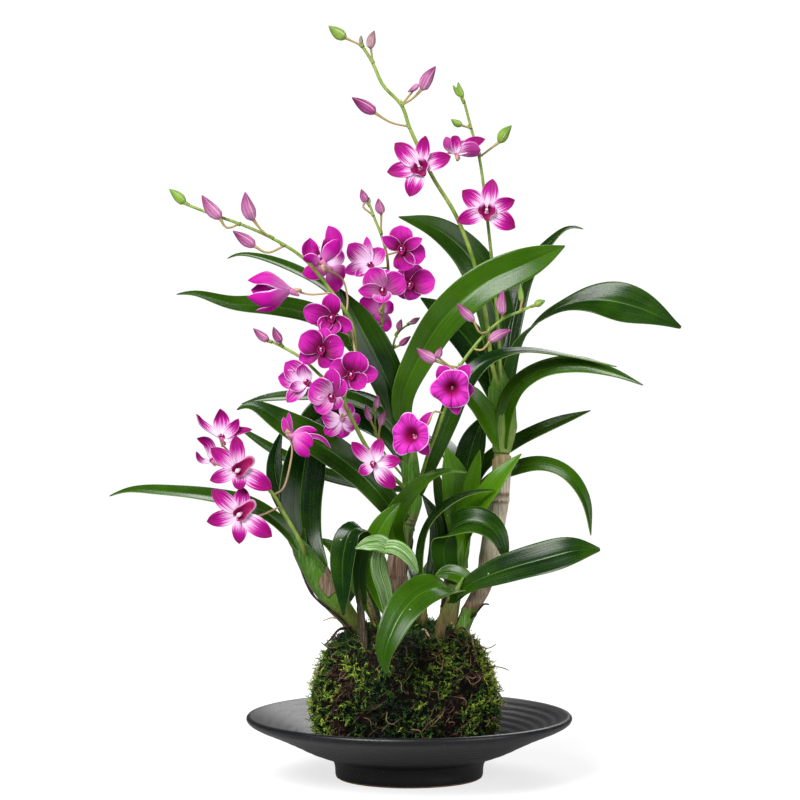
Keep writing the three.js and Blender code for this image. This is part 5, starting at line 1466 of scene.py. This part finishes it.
def leaf_width(share, widest):
    """Share of a leaf's width: from a narrow clasping base through its widest place to a pointed tip."""
    rise = 0.42 + 0.58 * np.sin(math.pi / 2 * np.minimum(share / widest, 1))
    blunt = 1.5 if widest < 0.5 else 2.0
    fall = np.cos(math.pi / 2 * np.clip((share - widest) / (1 - widest), 0, 1) ** blunt)
    return np.where(share < widest, rise, np.maximum(fall, 0.02))


def smooth_steps(share, values):
    """Values at even places, with their corners rounded off."""
    places = np.linspace(0, 1, 101)
    steps = np.interp(places, np.linspace(0, 1, len(values)), values)
    steps = np.convolve(np.pad(steps, 4, mode="edge"), np.ones(9) / 9, "valid")
    return np.interp(share, places, steps)


def leaf_fold(share):
    """How far a leaf's edges stand above its midrib, as a share of half its width."""
    return 0.18 + 0.5 * np.clip(1 - share / 0.3, 0, 1) ** 2


def leaf(row, rng):
    """A leaf: a blade folded along its midrib, waved a little, from its row of the table."""
    points, width, freshness, facings, *widest = row
    track = Track([seen(p) for p in points], facings)
    rows = max(14, round(track.length / LEAF_STEP))
    phase, waves, sway = rng.uniform(0, 6), rng.uniform(1.5, 3), rng.uniform(-0.05, 0.05)

    def place(u, v):
        centre, _, normal, side = track.at(v)
        across = 2 * u - 1
        across = np.sign(across) * np.abs(across) ** 1.2
        if isinstance(width, list):
            half = smooth_steps(v, width)
        else:
            half = leaf_width(v, *(widest or [0.48])) * width
        half = half * MM / 2
        lift = leaf_fold(v) * half * np.abs(across) ** 1.25
        lift = lift + 0.05 * half * np.sin(2 * math.pi * waves * v + phase) * across * np.abs(across)
        lift = lift + sway * half * across
        groove = np.exp(-((across / 0.07) ** 2)) * np.minimum(half * 0.09, 0.0007)
        return centre + side * (across * half)[:, None] + normal * (lift - groove)[:, None]

    piece = woven("leaf", 10, rows, place)
    mark(piece, "freshness", freshness)
    return piece


def leaves(look):
    rng = random.Random(3)
    top, under = leaf_material(look), underleaf_material(look)
    for name, (_, *rows) in SHOOTS.items():
        blades = [leaf(row, rng) for row in rows]
        for blade in blades:
            dress(blade, top, under)
        piece = joined(name + "_leaves", blades)
        thicken(piece, look.blade, back_slot=1)
        soften(piece)
        settle(piece, "leaf", name)


def shoot_stems(look):
    green = look.green
    bands = {
        "left_shoot": [(0.085, "5a4a2a"), (0.1, "737a34"), (0.12, green), (0.15, "3f6a18")],
        "centre_shoot": [(0.155, "8c6a62"), (0.168, "6f7a3c"), (0.18, green), (0.24, "3f7016")],
        "right_shoot": [(0.205, "8a7046"), (0.212, "86a04a"), (0.235, "66952c"), (0.26, green)],
    }
    # The near-black browns low on these two stems are partly their own colour and partly painted shade where
    # they run down among the moss and roots.
    dark = [(0.08, "2a1e14"), (0.11, "3f3520"), (0.135, "3f5a1e"), (0.2, green)]
    bands["drooping_shoot"] = bands["young_shoot"] = dark
    plain = [(0.08, "4a3322"), (0.1, "6c5634"), (0.118, "74803a"), (0.14, green), (0.2, green)]
    for name, ((points, radii), *_) in SHOOTS.items():
        last = Vector(points[-1])
        beyond = last + (last - Vector(points[-2])).normalized() * SHOOT_TAPER
        rings = (0.3, 0.62) if name in bands else (0.45,)
        piece = stem_tube(name + "_stem", [*points, beyond], [*radii, radii[-1] * 0.25], rings, 0.012)
        dress(piece, skin_material(name + " Skin", bands.get(name, plain), 0.4))
        settle(piece, "leaf", name)


def bracts():
    """Papery sheaths on the older stems, and the green sheaths that the leaves grow from."""
    left, centre, right = (SHOOTS[name][0] for name in ("left_shoot", "centre_shoot", "right_shoot"))
    papery = [
        sheath(*left, 0.62, 0.8, 60, 170),
        sheath(*CANES["centre_cane"], 0.3, 0.62, 30, 110),
        sheath(*CANES["centre_cane"], 0.6, 0.98, 190, 100),
        sheath(*CANES["right_cane"], 0.9, 0.995, 10, 30, 0.0006, cut=0.6),
        sheath(*CANES["back_cane"], 0.3, 0.66, 40, 90),
    ]
    piece = joined("papery_bracts", papery)
    bands = [(0.08, "4e3c2c"), (0.13, "78624c"), (0.165, "8f7660"), (0.21, "b09a70")]
    dress(piece, skin_material("Papery Bract", bands, 0.65, 2.0))
    soften(piece)
    settle(piece, "cane")
    green = [
        sheath(*right, 0.01, 0.98, -75, 90, cut=0.6),
        sheath(*right, 0.15, 0.99, 105, 90, cut=0.6),
        sheath(*centre, 0.05, 0.6, -80, 80, cut=0.7),
        sheath(*centre, 0.35, 0.8, 100, 80, cut=0.7),
    ]
    piece = joined("green_sheaths", green)
    bands = [(0.16, "957468"), (0.175, "4f8420"), (0.205, "4f8420"), (0.212, "8aa250"), (0.25, "4f8420")]
    dress(piece, skin_material("Green Sheath", bands, 0.4))
    soften(piece)
    settle(piece, "leaf")


# Flower stems, buds and blooms


def bud_stalk(points, swell):
    """A thin stalk that thickens towards its bud."""
    rows = max(8, round(Track(points).length / STEM_STEP))

    def reach(share, angle):
        return BUD_STALK_RADIUS * (0.85 + (swell - 0.85) * share**4)

    return tube("stalk", points, reach, 8, rows)


def scale_leaf(spot, out, up, size):
    """The small triangular scale under a stalk."""
    side = np.cross(up, out)

    def place(u, v):
        across = (2 * u - 1) * (1 - v**1.6) * 0.45 * size
        lift = 0.0011 + 0.0004 * v + 0.1 * size * v * v
        away = out * (lift - across**2 / size * 1.6)[:, None]
        return spot + side * across[:, None] + up * ((v - 0.15) * size)[:, None] + away

    return woven("scale", 4, 5, place)


def bud(row, rng):
    """A bud of three closed sepals with a blunt chin at its base, and its stalk."""
    base, tip, width, ripeness, path = row
    start, end = seen(base), seen(tip)
    axis = end - start
    aside = Vector((rng.uniform(-1, 1), rng.uniform(-1, 0.2), rng.uniform(-1, 0))).cross(axis).normalized()
    middle = start + axis * 0.5 + aside * axis.length * 0.06
    turn = rng.uniform(0, 6)

    def reach(share, angle):
        size = np.interp(share, BUD_PLACES, BUD_REACH) * width * MM / 2
        chin = 0.22 * np.exp(-(((share - 0.12) / 0.1) ** 2)) * np.maximum(np.cos(angle - turn), 0)
        return size * (1 - 0.07 * np.abs(np.cos(1.5 * (angle - turn))) ** 6 + chin)

    body = tube("bud", [start, middle, end], reach, 18, 20)
    mark(body, "ripeness", ripeness)
    foot = [nearest_stem(seen(path[-1])), *(seen(p) for p in reversed(path[:-1])), start + axis * 0.06]
    return body, bud_stalk(foot, max(1.2, 0.19 * width))


def flower_stems(scene):
    rng = random.Random(8)
    skin = scene.orchid_stem
    green = stem_material("Flower Stem", skin.flower_stem, colour("9bb04e"))
    tan = stem_material("Stalk", skin.stalk, colour("a9945a"))
    ripening = bud_material(scene.orchid_bloom)
    for name, ((points, radius), *rows) in SPRAYS.items():
        spots = [seen(p) for p in points]
        size = along(spots, [radius * (1 - i / (3 * len(points))) * MM for i in range(len(points))])
        track = Track(spots)
        steps = max(12, round(track.length / 0.0035))
        stem = tube(name + "_stem", spots, lambda share, angle: size(share), 12, steps)
        dress(stem, green)
        parts = [stem]
        for row in rows:
            body, foot = bud(row, rng)
            dress(body, ripening)
            dress(foot, tan)
            parts += [body, foot]
            near = np.argmin(np.linalg.norm(track.centre - np.array(seen(row[4][-1])), axis=1))
            out = unit(np.array(seen(row[0])) - track.centre[near])
            up = track.ahead[near]
            out = unit(out - up * (out @ up))
            scale = scale_leaf(track.centre[near], out, up, 0.0032)
            dress(scale, green)
            thicken(scale, 0.0005)
            parts.append(scale)
        piece = joined(name + "_dressed", parts)
        settle(piece, "flower_stem", name)


def nearest_stem(point):
    """The place on the axis of the nearest flower stem."""
    best = None
    for (points, _), *_ in SPRAYS.values():
        spots = np.array([tuple(seen(p)) for p in points])
        start, step = spots[:-1], np.diff(spots, axis=0)
        share = np.clip(((np.array(point) - start) * step).sum(1) / (step * step).sum(1), 0, 1)
        near = start + step * share[:, None]
        gaps = np.linalg.norm(near - np.array(point), axis=1)
        if best is None or gaps.min() < best[0]:
            best = (gaps.min(), near[gaps.argmin()])
    return Vector(best[1])


class Bloom:
    """Where a bloom stands and how it is turned, from its row of the table."""

    def __init__(self, row):
        heart, facing, breadth, self.kind, lip_angle, self.paleness, self.tepals, self.path = row
        self.out = Vector(facing).normalized()
        self.heart = seen(heart)
        self.breadth = breadth * MM
        turn = math.radians(lip_angle)
        down = Vector((math.cos(turn), 0, math.sin(turn)))
        self.down = (down - down.project(self.out)).normalized()
        self.axes = np.array(self.down), np.cross(self.out, self.down), np.array(self.out)

    def onward(self, share):
        return self.heart + self.out * share * self.breadth


def outline(share, widest, roundness):
    return np.sin(math.pi * np.clip(share, 0, 1) ** widest) ** roundness


def tepal(bloom, row, rng):
    """A sepal or petal: a cupped and waved blade from the flower's heart, from its row of the table."""
    angle, length, toward, width, *own = row
    turn = math.radians(angle)
    shift = Vector((math.cos(turn) * length, -toward, math.sin(turn) * length)) * MM
    rise = shift.dot(bloom.out)
    away = (shift - bloom.out * rise).normalized()
    lean = math.acos(max(-1, min(1, rise / shift.length)))
    bulge = away * math.cos(lean) * 0.3 + bloom.out * math.sin(lean) * rng.uniform(0.05, 0.11)
    start = bloom.heart + away * 0.02 * bloom.breadth - bloom.out * 0.03 * bloom.breadth
    tip = bloom.heart + shift
    middle = (start + tip) / 2 + bulge * shift.length
    facing = own[1] if len(own) > 1 else bloom.out * math.sin(lean) - away * math.cos(lean)
    track = Track([start, middle, tip], [facing])
    half_width = width * MM / 2
    shape = ROUND_OUTLINE if width > 0.66 * length else STAR_OUTLINE
    cup = rng.uniform(0.1, 0.26) + 0.4 * max(0, math.cos(lean))
    twist, phase = math.radians(rng.uniform(-16, 16)), rng.uniform(0, 6)
    wave = rng.uniform(0.05, 0.12) if shape is ROUND_OUTLINE else rng.uniform(0.03, 0.07)

    def place(u, v):
        centre, _, front, side = track.at(v)
        cos, sin = np.cos(twist * v)[:, None], np.sin(twist * v)[:, None]
        side, front = side * cos + front * sin, front * cos - side * sin
        s = 2 * u - 1
        half = np.maximum(outline(v, *shape), 0.3 * (v < 0.3)) * half_width
        lift = half * (cup * s * s + wave * np.sin(4 * math.pi * v + phase) * np.abs(s) ** 3 * np.sign(s))
        lift = lift - 0.06 * half * np.exp(-((s / 0.2) ** 2))
        lift = lift + 0.04 * half * np.sin(9 * v + 4 * s + phase) * np.abs(s)
        return centre + side * (s * half)[:, None] + front * lift[:, None]

    piece = woven("tepal", 6, 10, place)
    pale = own[0] if own else bloom.paleness + rng.uniform(-0.12, 0.12)
    mark(piece, "paleness", min(1, max(0, pale)))
    return piece


def trumpet(bloom, rng):
    """The tepals of a bloom that opens as a funnel, joined, with a wavy rim that turns back."""
    down, across, out = bloom.axes
    heart = np.array(bloom.onward(-0.04))
    phase = rng.uniform(0, 6)

    def place(u, v):
        angle = 2 * math.pi * u
        lobes = 1 + v**2 * (0.1 * np.cos(3 * angle + phase) + 0.06 * np.sin(5 * angle + 2 * phase))
        radius = (0.025 + 0.05 * np.minimum(v * 5, 1) + 0.27 * v**1.4) * lobes
        forward = 0.3 * np.sin(math.pi / 2 * v**0.75) - 0.05 * v**5
        forward = forward + v**3 * 0.035 * np.sin(7 * angle + phase)
        ring = turned(down, across, angle)
        return heart + (ring * radius[:, None] + out * forward[:, None]) * bloom.breadth

    return woven("trumpet", 36, 10, place)


def lip(bloom):
    """The lip: sides that curl up round the column into a cup, and a round lobe that bends outwards."""
    breadth = bloom.breadth
    cup, depth, reach, wide = LIPS[bloom.kind]
    down, across, out = bloom.axes
    heart = np.array(bloom.onward(-0.01))

    def place(u, v):
        s = 1 - 2 * u
        angle = s * math.radians(165)
        q = np.clip(s / 0.4, -1, 1)
        lobe = np.clip((v - 0.4) / 0.6, 0, 1)
        share = (1 - q**4) * lobe
        radius = (0.02 + (cup - 0.02) * np.sin(math.pi / 2 * np.minimum(v * 1.3, 1))) * (1 + 0.14 * lobe)
        radius = radius + 0.006 * np.sin(19 * s) * lobe
        ahead = radius * np.cos(angle) * (1 - share) + (reach - wide + wide * np.cos(2.5 * q)) * share
        narrow = 0.35 + 0.65 * lobe**3
        flank = radius * np.sin(angle) * (1 - share) + wide * np.sin(2.5 * q) * share * narrow
        forward = depth * np.sin(math.pi / 2 * v) - 0.02 * lobe * np.abs(s)
        forward = forward + share * lobe * (0.05 - 0.1 * (ahead / reach) ** 2)
        hang = down * ahead[:, None] + across * flank[:, None]
        return heart + (out * forward[:, None] + hang) * breadth

    return woven("lip", 22, 8, place)


def column(bloom):
    """The column: a short club with a rounded white cap over the lip."""
    rise = -bloom.down * bloom.breadth
    size = COLUMN_SIZES[bloom.kind] * bloom.breadth
    points = [bloom.onward(-0.04), bloom.onward(0.04) + rise * 0.02, bloom.onward(0.1) + rise * 0.01]

    def reach(share, angle):
        club = np.interp(share, (0, 0.5, 0.7, 0.86, 0.96, 1), (0.03, 0.03, 0.042, 0.046, 0.032, 0.012))
        return club * size * (1 + 0.08 * np.cos(2 * angle))

    return tube("column", points, reach, 12, 12)


def chin(bloom):
    """The blunt spur behind the lip, and the seat of the sepals."""
    down = bloom.down * bloom.breadth
    points = [bloom.onward(0.0), bloom.onward(-0.07) + down * 0.04, bloom.onward(-0.15) + down * 0.08]

    def reach(share, angle):
        return bloom.breadth * np.interp(share, (0, 0.4, 1), (0.055, 0.05, 0.018))

    return tube("chin", points, reach, 12, 10)


def bloom_stalk(bloom):
    """The stalk from the flower stem to the back of a bloom, which it widens to meet."""
    places = [seen(p) for p in bloom.path]
    points = [nearest_stem(places[-1]), *reversed(places[:-1]), bloom.onward(-0.2), bloom.onward(-0.08)]
    rows = max(14, round(Track(points).length / 0.0018))
    wide = bloom.breadth * 0.042

    def reach(share, angle):
        return 0.00065 + (wide - 0.00065) * np.clip((share - 0.74) / 0.26, 0, 1) ** 1.6

    return tube("stalk", points, reach, 10, rows)


def blooms(scene):
    look = scene.orchid_bloom
    star = (star_material(look), star_material(look, back=True))
    rounded = (round_material(look), round_material(look, back=True))
    lips = {"cup": lip_material(look, "Cup Lip", 0.95), "lobed": lip_material(look, "Lobed Lip", 0.6)}
    lips["throat"] = lips["none"] = lip_material(look, "Throat", 0.04)
    lips["funnel"] = trumpet_material(look)
    column_skin = column_material(look)
    pale_stalk = stem_material("Bloom Stalk", colour("b9a46c"), colour("b8907c"))
    rose = stem_material("Chin", colour("d68fba"), colour("b8508e"))
    for index, (name, row) in enumerate(BLOOMS.items()):
        rng = random.Random(100 + index)
        bloom = Bloom(row)
        starry = "star" in name or name == "cup_top"
        parts = [tepal(bloom, tepal_row, rng) for tepal_row in bloom.tepals]
        for part in parts:
            dress(part, *(star if starry else rounded))
        lobe = trumpet(bloom, rng) if bloom.kind == "funnel" else lip(bloom)
        dress(lobe, lips[bloom.kind])
        piece = joined("petals", parts)
        thicken(piece, look.tepal, back_slot=1)
        thicken(lobe, look.tepal)
        piece = joined("petals", [piece, lobe])
        soften(piece)
        club, spur, foot = column(bloom), chin(bloom), bloom_stalk(bloom)
        dress(club, column_skin)
        dress(spur, rose)
        dress(foot, pale_stalk)
        piece = joined("bloom_" + name + "_dressed", [piece, club, spur, foot])
        settle(piece, "petal_star" if starry else "petal_round", "bloom_" + name)


# Stage


def floor_material(look):
    """A pale floor that shows white round a soft shadow."""
    material, tree, shader = painted("Pale Floor", 0.9, specular=0.05)
    patches = mottled(tree, 3.0, look.floor, colour("fbfbfb"))["Colour"]
    feed(tree, shader.inputs["Base Color"], blend(tree, 0.34, (0, 0, 0, 1), patches))
    distance = tool(tree, "VectorMath", operation="LENGTH")
    feed(tree, distance.inputs[0], place_here(tree))
    glow = span(tree, distance.outputs["Value"], 0.1, 0.8, 0.8, 1.0)
    seen_directly = tool(tree, "LightPath").outputs["Is Camera Ray"]
    glow = times(tree, glow, span(tree, seen_directly, 0.0, 1.0, 0.15, 1.0))
    feed(tree, shader.inputs["Emission Color"], blend(tree, glow, (0, 0, 0, 1), patches))
    shader.inputs["Emission Strength"].default_value = 1.0
    return material


def softbox(name, place, aim, size, power):
    """A round soft light that is aimed at a place."""
    deselect()
    turn = (Vector(aim) - Vector(place)).to_track_quat("-Z", "Y").to_euler()
    bpy.ops.object.light_add(type="AREA", location=place, rotation=turn)
    lamp = bpy.context.active_object
    lamp.name = name
    lamp.data.shape = "DISK"
    lamp.data.size = size
    lamp.data.energy = power


def stage(look):
    """A pale floor, soft studio light, and the camera at the viewpoint."""
    deselect()
    bpy.ops.mesh.primitive_circle_add(vertices=96, radius=FLOOR_RADIUS, fill_type="NGON", location=(0, 0, 0))
    floor = bpy.context.active_object
    floor.name = "floor"
    dress(floor, floor_material(look))
    softbox("key_light", (-1.2, -1.8, 1.9), (0, 0, 0.22), 1.6, look.key)
    softbox("fill_light", (1.9, -1.5, 0.9), (0, 0, 0.22), 1.6, look.fill)
    softbox("back_light", (0.5, 1.7, 1.8), (0, 0, 0.25), 1.8, look.back)
    world = bpy.data.worlds.new("Studio")
    bpy.context.scene.world = world
    world.use_nodes = True
    tree = world.node_tree
    seen_directly = tool(tree, "LightPath").outputs["Is Camera Ray"]
    background = tree.nodes["Background"]
    background.inputs["Color"].default_value = (1, 1, 1, 1)
    feed(tree, background.inputs["Strength"], span(tree, seen_directly, 0.0, 1.0, 0.12, 1.05))
    place = EYE * MM
    aim = Vector((place.x, 0, AIM_HEIGHT))
    turn = (aim - place).to_track_quat("-Z", "Y").to_euler()
    bpy.ops.object.camera_add(location=place, rotation=turn)
    camera = bpy.context.active_object
    camera.name = "camera"
    camera.data.sensor_width = SENSOR_WIDTH
    camera.data.lens = SENSOR_WIDTH * (aim - place).length / VIEW_WIDTH
    bpy.context.scene.camera = camera
    bpy.context.scene.view_settings.view_transform = "Standard"


# Operators and panel


class ORCHID_OT_dish(bpy.types.Operator):
    """Turn the footed dish and glaze it."""

    bl_idname = "orchid.dish"
    bl_label = "Dish"
    bl_options = {"REGISTER", "UNDO"}

    def execute(self, context):
        dish(context.scene.orchid_dish)
        return {"FINISHED"}


class ORCHID_OT_moss(bpy.types.Operator):
    """Build the moss ball: its body, its sprigs and the roots that cross it."""

    bl_idname = "orchid.moss"
    bl_label = "Moss ball"
    bl_options = {"REGISTER", "UNDO"}

    def execute(self, context):
        look = context.scene.orchid_moss
        moss_body(look)
        moss_sprigs(look)
        moss_strands(look)
        return {"FINISHED"}


class ORCHID_OT_canes(bpy.types.Operator):
    """Build the old canes, the stems of the leafy shoots, and their sheaths."""

    bl_idname = "orchid.canes"
    bl_label = "Canes"
    bl_options = {"REGISTER", "UNDO"}

    def execute(self, context):
        look = context.scene.orchid_stem
        canes(look)
        shoot_stems(look)
        bracts()
        free_roots(look)
        return {"FINISHED"}


class ORCHID_OT_leaves(bpy.types.Operator):
    """Build the leaves of each shoot."""

    bl_idname = "orchid.leaves"
    bl_label = "Leaves"
    bl_options = {"REGISTER", "UNDO"}

    def execute(self, context):
        leaves(context.scene.orchid_leaf)
        return {"FINISHED"}


class ORCHID_OT_flower_stems(bpy.types.Operator):
    """Build the flower stems with their buds."""

    bl_idname = "orchid.flower_stems"
    bl_label = "Flower stems and buds"
    bl_options = {"REGISTER", "UNDO"}

    def execute(self, context):
        flower_stems(context.scene)
        return {"FINISHED"}


class ORCHID_OT_blooms(bpy.types.Operator):
    """Build the open blooms."""

    bl_idname = "orchid.blooms"
    bl_label = "Blooms"
    bl_options = {"REGISTER", "UNDO"}

    def execute(self, context):
        blooms(context.scene)
        return {"FINISHED"}


class ORCHID_OT_stage(bpy.types.Operator):
    """Set up the floor, the studio light and the camera."""

    bl_idname = "orchid.stage"
    bl_label = "Stage"
    bl_options = {"REGISTER", "UNDO"}

    def execute(self, context):
        stage(context.scene.orchid_stage)
        return {"FINISHED"}


OPERATORS = (
    ORCHID_OT_stage, ORCHID_OT_dish, ORCHID_OT_moss, ORCHID_OT_canes, ORCHID_OT_leaves,
    ORCHID_OT_flower_stems, ORCHID_OT_blooms,
)


class ORCHID_PT_panel(bpy.types.Panel):
    """The plant's pieces and their settings."""

    bl_idname = "ORCHID_PT_panel"
    bl_label = "Potted dendrobium"
    bl_space_type = "VIEW_3D"
    bl_region_type = "UI"
    bl_category = "Orchid"

    def draw(self, context):
        for step in OPERATORS:
            self.layout.operator(step.bl_idname)
        for pointer, settings in SETTINGS.items():
            box = self.layout.box()
            box.label(text=pointer.removeprefix("orchid_").capitalize())
            for name in settings.__annotations__:
                box.prop(getattr(context.scene, pointer), name)


def register():
    for made in (*SETTINGS.values(), *OPERATORS, ORCHID_PT_panel):
        bpy.utils.register_class(made)
    for pointer, settings in SETTINGS.items():
        setattr(bpy.types.Scene, pointer, bpy.props.PointerProperty(type=settings))


def unregister():
    for pointer in SETTINGS:
        delattr(bpy.types.Scene, pointer)
    for made in (ORCHID_PT_panel, *reversed(OPERATORS), *reversed(SETTINGS.values())):
        bpy.utils.unregister_class(made)


def main():
    register()
    bpy.ops.orchid.stage()
    bpy.ops.orchid.dish()
    bpy.ops.orchid.moss()
    bpy.ops.orchid.canes()
    bpy.ops.orchid.leaves()
    bpy.ops.orchid.flower_stems()
    bpy.ops.orchid.blooms()


if __name__ == "__main__":
    main()
